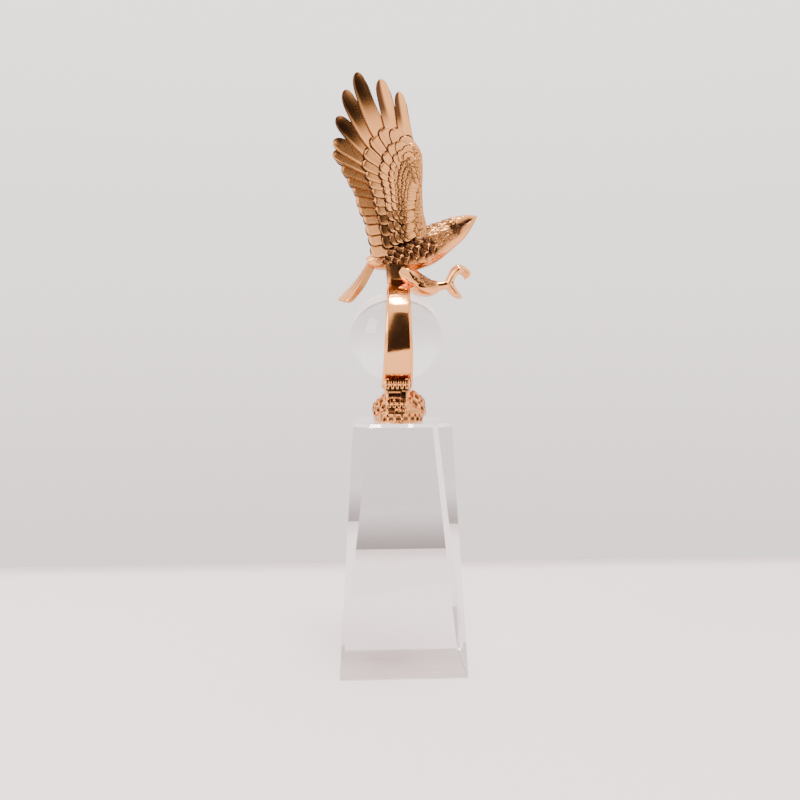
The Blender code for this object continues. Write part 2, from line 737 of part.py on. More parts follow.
def build():
    clear_scene()
    parts = new_collection("eagle_trophy")
    guides = new_collection("cutters")
    crystal = new_material("plinth_crystal", (1.0, 1.0, 1.0), 0.0, 0.02, 1.0, 1.52)
    ball_glass = new_material("ball_crystal", (1.0, 1.0, 1.0), 0.0, 0.02, 1.0, 1.52)
    stand_metal = new_material("stand_rose_gold", (0.83, 0.50, 0.36), 1.0, 0.16)
    eagle_metal = new_material("eagle_rose_gold", (0.83, 0.50, 0.36), 1.0, 0.20)
    make_plinth(parts, crystal)
    place("crystal_ball", ball_mesh("crystal_ball", BALL_RADIUS), parts, ball_glass)
    make_stand(parts, guides, stand_metal)
    make_eagle(parts, guides, eagle_metal)


build()
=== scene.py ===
import math

import bpy
import numpy as np
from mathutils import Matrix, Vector


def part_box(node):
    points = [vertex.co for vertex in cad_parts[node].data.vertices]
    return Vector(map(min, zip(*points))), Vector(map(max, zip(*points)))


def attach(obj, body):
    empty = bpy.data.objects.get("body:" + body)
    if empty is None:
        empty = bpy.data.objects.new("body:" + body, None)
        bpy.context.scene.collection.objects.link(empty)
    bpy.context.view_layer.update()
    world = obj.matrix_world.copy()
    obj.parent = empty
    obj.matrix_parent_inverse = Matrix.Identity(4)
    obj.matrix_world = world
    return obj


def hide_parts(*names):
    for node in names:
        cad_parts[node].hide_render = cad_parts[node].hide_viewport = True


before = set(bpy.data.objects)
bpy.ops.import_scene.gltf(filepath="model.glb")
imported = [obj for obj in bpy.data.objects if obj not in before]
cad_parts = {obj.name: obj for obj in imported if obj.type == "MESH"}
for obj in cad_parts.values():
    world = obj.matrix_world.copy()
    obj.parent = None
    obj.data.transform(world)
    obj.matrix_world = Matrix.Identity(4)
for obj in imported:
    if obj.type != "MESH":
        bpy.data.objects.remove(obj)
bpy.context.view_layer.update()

BALL_LOW, BALL_HIGH = (np.array(corner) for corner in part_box("crystal_ball"))
STAND_LOW, STAND_HIGH = (np.array(corner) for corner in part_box("metal_stand"))
JOINT_GAP = 0.0003
MM = 0.001

# The axis that the castings and the ball share, and the heights that they stand on
AXIS_X = (BALL_LOW[0] + BALL_HIGH[0]) / 2
BALL_Z = (BALL_LOW[2] + BALL_HIGH[2]) / 2
BALL_RADIUS = (BALL_HIGH[2] - BALL_LOW[2]) / 2
MOUND_FLOOR = STAND_LOW[2]
EAGLE_SEAT = STAND_HIGH[2] + JOINT_GAP


# Meshes

def add_object(name, data):
    """New object in the scene's collection."""
    made = bpy.data.objects.new(name, data)
    bpy.context.scene.collection.objects.link(made)
    return made


def add_piece(name, points, faces, masks, material, slot, node, sharp=40.0):
    """Put worked-out points and faces into a mesh, shade it, and let it stand for a CAD node."""
    mesh = bpy.data.meshes.new(name)
    mesh.from_pydata(points.tolist(), [], faces)
    for mask, values in masks.items():
        layer = mesh.attributes.new(mask, "FLOAT", "POINT")
        layer.data.foreach_set("value", values.astype(np.float32).ravel())
    mesh.materials.append(material)
    mesh.shade_smooth()
    mesh.set_sharp_from_angle(angle=math.radians(sharp))
    piece = add_object(name, mesh)
    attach(piece, "root")
    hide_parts(node)


def full_turn(count):
    """Angles of count points round a circle."""
    return np.linspace(0, 2 * math.pi, count, endpoint=False)


def unit(ways):
    """Directions brought to length one."""
    return ways / np.linalg.norm(ways, axis=-1, keepdims=True)


def ring_area(rings):
    """Area vector of each closed ring: half the sum of the cross products of neighbouring points."""
    local = rings - rings.mean(axis=2, keepdims=True)
    return np.cross(local, np.roll(local, -1, axis=2)).sum(axis=2) / 2


def tubes(rings, masks):
    """Closed tubes from an array of rings, indexed by tube, station and point round the ring.

    Neighbouring rings are joined by quads, and each end is closed by a fan to its mean point.
    A tube whose rings turn against its own direction is turned round, so that it faces out.
    """
    centres = rings.mean(axis=2)
    forward = np.gradient(centres, axis=1)
    facing = (ring_area(rings) * forward).sum(axis=(1, 2))
    against = facing < 0
    rings = rings.copy()
    rings[against] = rings[against][:, :, ::-1]
    masks = {key: np.broadcast_to(value, rings.shape[:3]).copy() for key, value in masks.items()}
    for value in masks.values():
        value[against] = value[against][:, :, ::-1]
    count, stations, sides = rings.shape[:3]
    index = np.arange(count * stations * sides).reshape(count, stations, sides)
    ahead = np.roll(index, -1, axis=2)
    quads = np.stack([index[:, :-1], ahead[:, :-1], ahead[:, 1:], index[:, 1:]], axis=-1)
    first = count * stations * sides + np.arange(count)[:, None] + np.zeros(sides, int)
    last = first + count
    start = np.stack([ahead[:, 0], index[:, 0], first], axis=-1)
    end = np.stack([index[:, -1], ahead[:, -1], last], axis=-1)
    points = np.concatenate([rings.reshape(-1, 3), centres[:, 0], centres[:, -1]])
    faces = quads.reshape(-1, 4).tolist() + start.reshape(-1, 3).tolist() + end.reshape(-1, 3).tolist()
    spread = {
        key: np.concatenate([value.ravel(), value[:, 0].mean(axis=1), value[:, -1].mean(axis=1)])
        for key, value in masks.items()
    }
    return points, faces, spread


def gather(parts):
    """Several sets of points, faces and masks as one. A mask that a part lacks is zero there."""
    points, faces, masks, offset = [], [], {}, 0
    names = sorted({key for part in parts for key in part[2]})
    for part_points, part_faces, part_masks in parts:
        points.append(part_points)
        faces += [[i + offset for i in face] for face in part_faces]
        for key in names:
            masks.setdefault(key, []).append(part_masks.get(key, np.zeros(len(part_points))))
        offset += len(part_points)
    return np.concatenate(points), faces, {key: np.concatenate(value) for key, value in masks.items()}


def smooth_rows(table, shares):
    """Rows of a table read at shares of its length, on a smooth curve through all the rows."""
    table = np.asarray(table, float)
    padded = np.concatenate([[2 * table[0] - table[1]], table, [2 * table[-1] - table[-2]]])
    span = np.clip(shares, 0, 1) * (len(table) - 1)
    k = np.clip(span.astype(int), 0, len(table) - 2)
    f = (span - k)[..., None]
    p0, p1, p2, p3 = padded[k], padded[k + 1], padded[k + 2], padded[k + 3]
    h1 = 2 * f ** 3 - 3 * f ** 2 + 1
    h2 = f ** 3 - 2 * f ** 2 + f
    return p1 * h1 + (p2 - p0) / 2 * h2 + p2 * (1 - h1) + (p3 - p1) / 2 * (f ** 3 - f ** 2)


def soft_step(low, high, value):
    """Smooth ramp: 0 below low, 1 above high, three squares minus two cubes between."""
    t = np.clip((value - low) / (high - low), 0, 1)
    return t * t * (3 - 2 * t)


def ridge(value, middle, width):
    """Bell curve of height one about a middle."""
    return np.exp(-((value - middle) / width) ** 2)


def rumple(points, size, seed):
    """Smooth unevenness between -1 and 1: a sum of sine waves in fixed directions, about size long."""
    rng = np.random.default_rng(seed)
    total = np.zeros(points.shape[:-1])
    for octave in (1.0, 1.9, 3.3):
        for _ in range(4):
            way = rng.normal(size=3)
            way /= np.linalg.norm(way)
            total += np.sin(points @ way * (2 * math.pi * octave / size) + rng.uniform(0, 6.28)) / octave
    return total / 6.0


def scale_relief(back, across):
    """Overlapping feather scales as (height, gap, dish), each 0 to 1.

    back counts rows in the direction that the feathers point, across counts scales along a row,
    and every other row is shifted by half a scale. A scale is a ramp that rises toward its round
    tip, domed across, and covers the roots of the next row. The second mask marks the gaps, where
    the callers paint shade, and dish the middle of each scale, inside its rim, where most callers
    paint a dark reflection.
    """
    row = np.floor(back)
    heights, dishes = [], []
    for step in (1, 0):
        k = row - step
        t = (back - k) / 1.60
        shifted = across + 0.5 * np.mod(k, 2)
        s = (shifted - np.round(shifted)) / 0.54
        w = np.sqrt(np.clip(1 - np.clip((t - 0.42) / 0.58, 0, 1) ** 2, 0, 1))
        inside = soft_step(0.0, 0.16, w - np.abs(s))
        height = (0.55 + 0.45 * t) * (1 - 0.25 * s ** 2)
        heights.append((inside, height))
        dishes.append(soft_step(0.10, 0.30, w - np.abs(s)))
    (inside_top, top), (inside_low, low) = heights
    dish = dishes[0] * inside_top + dishes[1] * (1 - inside_top) * 0.8
    under = low * inside_low * 0.8
    height = top * inside_top + under * (1 - inside_top)
    edge = (1 - inside_top) * soft_step(0.45, 0.0, under)
    return height, np.clip(edge, 0, 1), np.clip(dish, 0, 1)


# Eagle, drawn in squares: x toward the beak, y sideways, z up from its seat on the arm

GRID = 0.001
WING_TIPS = (
    (1.1, 119.2), (-10.6, 126.7), (-25.6, 130.5), (-33.1, 119.5), (-38.0, 102.9), (-39.9, 88.5),
    (-40.2, 81.0), (-35.0, 71.6), (-31.4, 65.1), (-28.0, 59.0), (-26.0, 51.6), (-24.2, 46.0),
    (-21.4, 40.5), (-19.6, 33.0), (-17.8, 26.5), (-16.2, 19.0),
)
WRIST, BEND, ELBOW = (10.5, 66.0), (3.0, 60.0), (6.0, 27.0)
LEADING_EDGE = (
    (11.5, 88.0), (15.6, 81.0), (16.4, 70.0), (16.1, 58.0), (16.8, 45.0), (18.7, 36.0), (19.5, 20.0),
)
FAR_WING_SWEEP = math.radians(1.3)
WING_OUT, WING_FLARE, FLARE_REACH = 7.8, 0.8, 80.0
FLARE_CENTRE = (8.0, 60.0)
SMALL_SCALE_LENGTH = 6.0
WING_SCALE_PITCH, WING_SCALE_COLUMNS = 2.3, 21.0
BODY_SCALES, NECK_SCALES = 10.0, 23.0
THIGH_SCALE_PITCH, THIGH_SCALES = 5.5, 20


def to_world(points):
    """Squares of the eagle's grid to metres."""
    return points * GRID + np.array([AXIS_X, 0.0, EAGLE_SEAT])


def wing_place(x, z, out, side):
    """Point of a wing from its side view x and z and its height out from the middle surface.

    The middle surface stands WING_OUT from the eagle's middle plane, and flares by the square of
    the distance from FLARE_CENTRE. The far wing is the near one mirrored and turned about the elbow.
    """
    away = (x - FLARE_CENTRE[0]) ** 2 + (z - FLARE_CENTRE[1]) ** 2
    y = WING_OUT + WING_FLARE * away / FLARE_REACH ** 2 + out
    if side > 0:
        dx, dz = x - ELBOW[0], z - ELBOW[1]
        c, s = math.cos(FAR_WING_SWEEP), math.sin(FAR_WING_SWEEP)
        x, z = ELBOW[0] + dx * c + dz * s, ELBOW[1] - dx * s + dz * c
    return to_world(np.stack([x, side * y, z], axis=-1))


def feather_roots(order):
    """Roots on the bone: a quadratic curve wrist, bend, elbow, read at the order to the power 1.7."""
    t = (order[:, None] / (len(WING_TIPS) - 1)) ** 1.7
    return np.array(WRIST) * (1 - t) ** 2 + np.array(BEND) * 2 * t * (1 - t) + np.array(ELBOW) * t * t


def feather_tips(order):
    """Tips read between the measured ones."""
    steps = np.arange(len(WING_TIPS))
    tips = np.array(WING_TIPS)
    return np.stack([np.interp(order, steps, tips[:, 0]), np.interp(order, steps, tips[:, 1])], axis=-1)


def feathers(roots, tips, half, lift_root, lift_tip, side, bow, blunt, root_share, floor, rim, crown,
             stations, top_points, bevel, shade=1.0, untwist=0.0, taper=0.0):
    """Closed feathers on a wing, as rings of their cross sections.

    Along a feather, the half width grows from root_share to one by the middle, loses the share
    taper, and closes in a rounded end past blunt. The middle line is a parabola that stands bow
    to the side halfway. Across it, the top is a straight slope between its two edge heights, plus
    a crown (one minus s squared) and a raised rim along the trailing edge. lift_root and lift_tip
    are (trailing edge, leading edge) heights at the two ends. untwist is the share of that slope
    that is gone at the tip. The edge falls outward by the bevel: its width at the sides and at
    the tip. The underside is flat at the height floor.
    """
    k = np.linspace(0, 1, stations)
    t = 1 - (1 - k) ** 1.5
    w = root_share + (1 - root_share) * soft_step(0.0, 0.55, t)
    w = w * (1 - taper * soft_step(0.45, 0.95, t))
    w = w * np.sqrt(np.clip(1.0 - np.clip((t - blunt) / (1.0 - blunt), 0, 0.998) ** 2.2, 0, 1))
    s_top = np.sin(np.linspace(math.pi / 2, -math.pi / 2, top_points))
    s_low = np.array([-1.0, -1.0, 0.0, 1.0, 1.0])
    s = np.concatenate([s_top, s_low])
    length = tips - roots
    ahead, across = unit(length), unit(np.stack([-length[:, 1], length[:, 0]], axis=-1))
    half, rim, bow, untwist = (np.reshape(value, (-1, 1, 1)) for value in (half, rim, bow, untwist))
    T, S, W = t[None, :, None], s[None, None, :], w[None, :, None]
    trailing = lift_root[0] * (1 - T) + lift_tip[0] * T
    leading = lift_root[1] * (1 - T) + lift_tip[1] * T
    kept = 1 - untwist * soft_step(0.45, 1.0, T)
    slope = (leading + trailing) / 2 + (trailing - leading) / 2 * S * W * kept
    top = slope + crown * (1 - S ** 2) * W + rim * ridge(S, 0.93, 0.09)
    top = top - 0.22 * ridge(T, 1.0, 0.03)
    point = np.arange(len(s))
    is_top, is_bevel = point < top_points, np.isin(point, (top_points, len(s) - 1))
    out = np.where(is_top, top, np.where(is_bevel, np.maximum(top - 1.0, floor + 0.1), floor))
    centre = roots[:, None] + length[:, None] * T - across[:, None] * (bow * 4 * T * (1 - T))
    reach = half * W * S + np.where(is_top, 0.0, bevel[0] * S)
    beyond = np.where(is_top, 0.0, bevel[1] * soft_step(0.7, 1.0, T))
    flat = centre[:, :, None] + across[:, None, None] * reach[..., None]
    flat = flat + ahead[:, None, None] * beyond[..., None]
    place = wing_place(flat[..., 0], flat[..., 1], out, side)
    # Painted shade along the outer edge of the top and on the bevel under it
    hollow = np.where(is_top, soft_step(0.975, 1.0, np.abs(S)), 1.0) * shade
    return place, {"along": T, "across": S, "hollow": hollow}


def wing(side):
    """Flight feathers, three rows of coverts, small scales, and the thick leading edge.

    A second darkening mask is painted reflection and painted shade: on the outer parts of the
    flight feathers, on the coverts near the elbow and on the tips of the small scales.
    """
    parts = []
    last = len(WING_TIPS) - 1
    order = np.arange(len(WING_TIPS)).astype(float)
    half = 5.6 - 1.4 * np.exp(-1.2 * order)
    bow = -5.0 * np.exp(-((order - 2.6) / 1.6) ** 2)
    level = np.interp(order, [0, 1, 2, 3, 5, 6, 8], [0.0, 0.1, 1.0, 1.2, 0.7, 0.3, 0.0])
    rim = np.interp(order, [1, 2, 5, 7], [0.0, 0.22, 0.18, 0.06])
    place, masks = feathers(
        feather_roots(order), feather_tips(order), half, (0.9, -0.9), (1.6, -1.1), side, bow,
        blunt=0.86, root_share=0.66, floor=-1.5, rim=rim, crown=-0.12, stations=34, top_points=15,
        bevel=(0.16, 0.14), shade=0.8, untwist=level, taper=0.20,
    )
    # Painted reflection and painted shade on the flight feathers: the trailing side near the tip of the
    # first two, the outer half of the next three, the leading side at the tip of the rest
    amount = np.interp(order, [0, 1, 2, 3, 4, 5, 6, 8], [1, 1, 0.95, 1, 1, 1, 0.9, 0])[:, None, None]
    edge, near_tip = masks["across"], masks["along"]
    first = soft_step(0.0, 0.35, edge) * soft_step(0.52, 0.74, near_tip)
    middle = (1 - 0.35 * soft_step(0.1, -0.9, edge)) * soft_step(0.46, 0.90, near_tip)
    lower = soft_step(0.3, -0.5, edge) * soft_step(0.80, 0.97, near_tip)
    kind = order[:, None, None]
    masks["dark"] = np.where(kind < 1.5, first, np.where(kind < 4.5, middle, lower)) * amount
    parts.append(tubes(place, masks))
    # Count, first order, length shares, root share, half width, root and tip heights, blunt
    rows = (
        (14, 0.2, (0.46, 0.50, 0.60, 0.63, 0.66), 0.16, 4.5, (0.4, -0.6), (2.3, 0.9), 0.78),
        (13, 0.1, (0.36, 0.35, 0.38, 0.40, 0.44), 0.08, 4.2, (1.0, 0.1), (3.1, 1.8), 0.74),
        (13, 0.5, (0.27, 0.26, 0.26, 0.28, 0.30), 0.02, 3.6, (1.6, 0.9), (3.6, 2.5), 0.70),
    )
    for count, first, shares, share_root, width, low, high, blunt in rows:
        order = np.linspace(first, last - 0.4, count)
        share = np.interp(order, [0, 2.5, 4.5, 9, last], shares)[:, None]
        start, end = feather_roots(order), feather_tips(order)
        roots = start + (end - start) * share_root
        tips = start + (end - start) * share
        place, masks = feathers(
            roots, tips, width, low, high, side, bow=0.3, blunt=blunt, root_share=0.75, floor=-0.6,
            rim=0.10, crown=0.10, stations=22, top_points=13, bevel=(0.40, 1.2),
        )
        # Painted shade on the middles of the coverts near the elbow, toward their tips
        shaded = soft_step(10.6, 12.6, order)[:, None, None] * soft_step(1.0, 0.4, np.abs(masks["across"]))
        masks["dark"] = shaded * soft_step(0.45, 0.65, masks["along"]) * 0.9
        parts.append(tubes(place, masks))
    rng = np.random.default_rng(11)
    # Tip share, count, half width, height
    small = (
        (0.22, 17, 2.4, 3.2), (0.16, 19, 2.2, 3.7), (0.10, 20, 2.1, 4.2), (0.05, 20, 2.0, 4.5),
        (0.005, 19, 2.1, 4.5),
    )
    for share_tip, count, width, lift in small:
        order = np.linspace(0.6, last - 0.2, count) + rng.uniform(-0.18, 0.18, count)
        start, end = feather_roots(order), feather_tips(order)
        tips = start + (end - start) * (share_tip + rng.uniform(-0.012, 0.012, count))[:, None]
        roots = tips - unit(end - start) * SMALL_SCALE_LENGTH
        low, high = (lift - 1.0, lift - 1.1), (lift - 0.1, lift - 0.4)
        place, masks = feathers(
            roots, tips, width, low, high, side, bow=0.0, blunt=0.55, root_share=0.8, floor=-0.3,
            rim=0.10, crown=0.12, stations=14, top_points=9, bevel=(0.50, 1.1),
        )
        # Painted shade on the tips of the small scales
        masks["dark"] = 0.9 * soft_step(0.80, 0.95, masks["along"])
        parts.append(tubes(place, masks))
    parts.append(shoulder_pad(side))
    return gather(parts)


def shoulder_pad(side):
    """Thick leading edge: an oval section swept down the edge line, with scales that point back."""
    stations, sides = 190, 90
    t = np.linspace(0, 1, stations)
    edge = smooth_rows(LEADING_EDGE, t)
    ends = np.minimum(np.minimum(1.0, (1.0 - t) * 4.0 + 0.25), 0.35 + t * 9)
    chord = (8.0 + 7.0 * np.minimum(t * 1.6, 1.0)) * ends
    fat = (1.3 + 0.7 * np.minimum(t * 1.2, 1.0) ** 0.7) * ends
    q = full_turn(sides)
    back = -(1 - np.cos(q)) / 2
    out = np.sin(q) * (0.42 + 0.58 * (1 + np.cos(q)) / 2) * 1.25
    outer = soft_step(0.0, 0.25, np.sin(q))
    T, Q = np.meshgrid(t, back, indexing="ij")
    rows = -Q * chord[:, None] / WING_SCALE_PITCH + 0.3 + 0.35 * np.sin(T * 37.0)
    columns = T * WING_SCALE_COLUMNS
    columns = columns + 0.30 * np.sin(rows * 2.1 + columns)
    height, hollow, dish = scale_relief(rows, columns)
    relief = height * outer[None, :] * 0.70 * soft_step(0.0, 0.06, 1 - T)
    x = edge[:, 0, None] + Q * chord[:, None]
    z = np.broadcast_to(edge[:, 1, None], x.shape)
    lift = 0.2 + out[None, :] * fat[:, None] + relief
    place = wing_place(x, z, lift, side)[None]
    # Painted shade in the gaps between scales and painted reflection in their middles, on the outer side
    # only
    return tubes(place, {"hollow": ((1.5 * hollow + 0.35 * dish) * outer[None, :])[None]})


# Body stations from tail to beak: x, z of the middle, half height across the axis, half width
BODY = (
    (-18.0, 12.5, 3.8, 4.6), (-12.0, 13.8, 6.4, 7.6), (-4.0, 15.6, 9.4, 10.2), (5.0, 18.0, 11.6, 11.8),
    (14.0, 21.5, 12.6, 12.2), (21.0, 24.5, 12.0, 11.2), (27.0, 28.0, 11.0, 9.4), (33.0, 31.5, 9.6, 8.0),
    (39.0, 35.0, 8.2, 6.6), (44.0, 38.3, 6.1, 5.0), (48.6, 41.2, 3.2, 2.7), (52.0, 43.2, 0.5, 0.5),
)
BODY_TILT = math.radians(30)


def body():
    """Body, neck and head: ovals swept from the rump to the beak, with scales that turn to hackles.

    The relief is the scale pattern on the body, narrower and longer on the neck, and fades on the
    throat and the head. The cheek is a long dent below the eye, and the brow a ridge over it.
    The darkening is painted: shade in the gaps between scales and in the mouth line, and painted
    reflection in the scales' dished middles and along the cheek.
    """
    stations, sides = 330, 200
    rows = smooth_rows(BODY, np.linspace(0, 1, stations))
    turn = full_turn(sides)
    X, TURN = np.meshgrid(rows[:, 0], turn, indexing="ij")
    c, s = np.cos(TURN), np.sin(TURN)
    path = np.concatenate([[0], np.cumsum(np.hypot(np.diff(rows[:, 0]), np.diff(rows[:, 1])))])
    pitch = np.interp(rows[:, 0], [-18, 10, 20, 28, 44], [2.8, 3.0, 3.3, 7.5, 7.5])
    count = np.concatenate([[0], np.cumsum(np.diff(path) / pitch[1:])])
    down = (count[-1] - count)[:, None] + 0.33 * np.cos(TURN * 2)
    across = TURN / (2 * math.pi) * BODY_SCALES + 0.10 * np.sin(count[:, None] * 2.3)
    fine = TURN / (2 * math.pi) * NECK_SCALES + 0.25 * np.sin(count[:, None] * 4.1)
    height, hollow, dish = scale_relief(down, across)
    long_height, long_painted_shade, long_dish = scale_relief(down * 1.15 + 0.6 * np.sin(TURN * 9.0), fine)
    neck = soft_step(21.0, 27.0, X)
    height = (height - 0.45 * dish) * (1 - neck) + (long_height - 0.3 * long_dish) * neck
    # Painted shade in the gaps between scales and painted reflection in their dished middles, less of both
    # on the belly and the rump
    hollow = (0.6 * hollow + 1.12 * dish) * (1 - neck) + (long_painted_shade + 0.8 * long_dish) * neck
    hollow = hollow * (1 - 0.9 * soft_step(-0.45, -0.80, s)) * soft_step(-16, -8, X)
    throat = soft_step(-0.35, -0.75, s) * soft_step(22, 34, X)
    fade = (1 - soft_step(37, 42, X)) * (1 - throat)
    deep = np.interp(X, [-18, -10, 4, 24, 36], [0.3, 0.9, 1.5, 1.3, 1.0])
    belly = 1 - 0.85 * soft_step(-0.50, -0.85, s)
    relief = (height - 0.5) * deep * fade * belly
    cheek_line = 0.02 + 0.0085 * (X - 36.4)
    cheek = ridge(s, cheek_line, 0.40) * soft_step(34.4, 37.0, X) * (1 - soft_step(46.5, 49.5, X))
    brow = ridge(s, 0.62, 0.12) * soft_step(34, 37, X) * (1 - soft_step(43, 45, X))
    crown = rumple(np.stack([X, c * 6, s * 6], axis=-1), 2.2, 4) * soft_step(0.5, 0.8, s)
    crown = crown * soft_step(35, 38, X) * (1 - soft_step(44, 46, X))
    mouth = ridge(s, -0.22 + 0.04 * (X - 44), 0.07) * soft_step(43.5, 45.5, X)
    mouth = mouth * (1 - soft_step(50.6, 51.6, X))
    relief = relief - 1.25 * cheek * np.abs(c) + 0.45 * brow * np.abs(c) + 0.30 * crown - 0.35 * mouth
    rise = rows[:, 2, None] * s + relief * s
    wide = (rows[:, 3, None] + relief) * c
    x = X - math.sin(BODY_TILT) * rise
    z = rows[:, 1, None] + math.cos(BODY_TILT) * rise
    place = to_world(np.stack([x, wide, z], axis=-1))[None]
    # Painted reflection along the cheek and painted shade in the mouth line
    hollow = np.clip(hollow * fade + 1.1 * cheek * c ** 2 + 0.5 * mouth, 0, 1)
    return tubes(place, {"hollow": hollow[None]})


def limb(points, radii, sides, stations, scales=0.0):
    """Round limb: circles swept along a smooth curve through points.

    scales is the height of the feather scales on its upper side, past a third of its length.
    """
    t = np.linspace(0, 1, stations)
    line = smooth_rows(points, t)
    radius = smooth_rows(np.array(radii)[:, None], t)[:, 0]
    ahead = unit(np.gradient(line, axis=0))
    aside = unit(np.array([0.0, 1.0, 0.0]) - ahead * ahead[:, 1:2])
    up = np.cross(ahead, aside)
    turn = full_turn(sides)
    relief = np.zeros((stations, sides))
    hollow = relief
    if scales:
        path = np.concatenate([[0], np.cumsum(np.linalg.norm(np.diff(line, axis=0), axis=1))])
        back = (path / THIGH_SCALE_PITCH)[:, None] + 0.5 * np.sin(turn * 7.0)[None, :]
        across = turn[None, :] / (2 * math.pi) * THIGH_SCALES + path[:, None] * 0.03
        height, hollow, dish = scale_relief(back, across)
        upper = soft_step(-0.25, 0.25, np.sin(turn))[None, :] * soft_step(0.25, 0.45, t)[:, None]
        upper = upper * soft_step(0, 0.1, 1 - t)[:, None]
        relief = (height - 0.5) * scales * upper
        # Painted shade in the gaps between scales and painted reflection in their middles
        hollow = np.clip(1.4 * hollow + 0.9 * dish, 0, 1) * upper
    r = radius[:, None] + relief
    ring = line[:, None] + aside[:, None] * (np.cos(turn) * r)[..., None]
    ring = ring + up[:, None] * (np.sin(turn) * r)[..., None]
    return tubes(to_world(ring)[None], {"hollow": hollow[None]})


LEG_SPREAD = 5.6


def leg(side):
    """Feathered thigh, bare shank and a clutching foot with three toes and a hind toe."""
    y = side * LEG_SPREAD
    thigh = ((3.0, y * 0.8, 8.0), (8.0, y, 4.4), (14.0, y, -0.6), (20.5, y, -3.0), (26.2, y, -2.2))
    shank = ((22.0, y, -2.4), (27.5, y, -1.8), (33.0, y, -0.6), (36.0, y, 0.6))
    parts = [
        limb(thigh, (4.6, 5.8, 6.2, 5.4, 3.7), 72, 110, 0.8),
        limb(shank, (3.2, 2.8, 2.6, 2.7), 20, 30),
    ]
    for spread, lift in ((-2.6, 0.0), (0.0, 1.4), (2.6, 0.0)):
        points = (
            (33.4, y + spread * 0.2, -0.5), (35.6, y + spread * 0.6, 4.4 + lift * 0.4),
            (38.6, y + spread, 8.0 + lift), (42.6, y + spread * 1.05, 8.0 + lift * 0.8),
            (45.6 + lift * 0.6, y + spread * 1.05, 5.0 + lift), (45.0 + lift * 0.9, y + spread, 3.0 + lift),
        )
        parts.append(limb(points, (2.4, 2.1, 2.2, 1.7, 1.1, 0.15), 18, 44))
    hind = ((33.0, y, 0.0), (35.6, y, -3.4), (38.2, y, -6.6), (40.6, y, -8.6), (41.4, y, -10.2))
    parts.append(limb(hind, (2.4, 2.2, 1.9, 1.1, 0.15), 18, 36))
    return parts


TAIL_FEATHERS = 7
TAIL_ROOT = (-13.5, 0.0, 14.0)
TAIL_DROP = math.radians(47)
TAIL_SPREAD = math.radians(17)
TAIL_LENGTH = 34.5


def tail():
    """Arched fan of feathers: each a flat oval section along a line that fans out and bends under."""
    k = np.arange(TAIL_FEATHERS)
    share = (k / (TAIL_FEATHERS - 1) * 2 - 1)[:, None]
    t = (1 - (1 - np.linspace(0, 1, 30)) ** 1.5)[None, :]
    down = np.array([-math.cos(TAIL_DROP), 0.0, -math.sin(TAIL_DROP)])
    under = np.array([math.sin(TAIL_DROP), 0.0, -math.cos(TAIL_DROP)])
    length = (TAIL_LENGTH - 1.2 * share ** 2) * t
    arch = 3.6 * share ** 2 * t ** 1.4 + 1.6 * np.sin(math.pi * t)
    spread = TAIL_SPREAD * share
    middle = np.array(TAIL_ROOT) + down * (length * np.cos(spread))[..., None]
    middle = middle + under * (arch - 2.2 * (1 - t))[..., None]
    middle[..., 1] = length * np.sin(spread)
    lean = unit(np.array([0.0, 1.0, 0.0]) + under * (share * 0.75 * t)[..., None])
    top = np.cross(lean, down)
    top *= np.sign(top[..., 2:3])
    w = (0.5 + 0.5 * soft_step(0, 0.6, t)) * np.sqrt(1 - np.clip((t - 0.84) / 0.16, 0, 0.998) ** 2)
    lift = 0.45 * (1 - np.abs(share)) + 1.0 * (1 - t)
    s = np.concatenate([np.linspace(-1, 1, 13), np.linspace(1, -1, 6)])
    is_top = np.arange(19) < 13
    high = 0.10 + 0.55 * (1 - s ** 2) + 0.18 * ridge(s, 0, 0.08) + 0.14 * ridge(np.abs(s), 0.9, 0.12)
    low = -1.9 * w[..., None] - 4.4 * (1 - t[..., None]) ** 1.3 - 0.1 * (1 - s ** 2)
    h = np.where(is_top, high, low)
    rings = middle[:, :, None] + lean[:, :, None] * (3.3 * w[..., None] * s)[..., None]
    rings = rings + top[:, :, None] * (h + lift[..., None])[..., None]
    # Painted shade along the edges of the feathers
    hollow = 0.4 * soft_step(0.8, 1.0, np.abs(s))
    return tubes(to_world(rings), {"along": t[..., None], "across": s, "hollow": hollow})


ARM_RIM = 0.0016
ARM_THICKNESS = 0.0048
ARM_CLEARANCE = 0.0005
ARM_CORNER = 0.00045
FACE_SUNK = 0.00045
FACE_CROWN = 0.00018
ARM_WIDTH_TOP = 0.0140
ARM_WIDTH_FOOT = 0.0198
ARM_SHIFT = -0.00045
ARM_START, ARM_END = 22, 181.4
ARM_LEAN = 0.0012
ARM_INNER = BALL_RADIUS + ARM_CLEARANCE
ARM_OUTER = ARM_INNER + ARM_THICKNESS


def seat_block():
    """Short block under the belly, as wide as the arm's tip that it stands on."""
    middle = (ARM_SHIFT + ARM_LEAN) / GRID
    half = ARM_WIDTH_TOP / GRID / 2
    levels = ((-0.25, half - 0.1, 6.9, 5.4), (4.0, half + 0.1, 8.2, 6.4), (12.0, half + 1.0, 8.9, 8.0))
    z, wide, near, far = smooth_rows(levels, np.linspace(0, 1, 14)).T
    turn = full_turn(48)
    c, s = np.cos(turn), np.sin(turn)
    square = np.sign(c) * np.abs(c) ** 0.25, np.sign(s) * np.abs(s) ** 0.2
    x = middle + wide[:, None] * square[0]
    y = np.where(square[1] < 0, near[:, None], far[:, None]) * square[1]
    z = np.broadcast_to(z[:, None], x.shape)
    place = to_world(np.stack([x, y, z], axis=-1))[None]
    # Painted shade, darker upward toward the belly above it
    return tubes(place, {"hollow": soft_step(-0.5, 6.0, z)[None] * 0.85})


EYE_PLACE = (38.3, 5.6, 38.6)


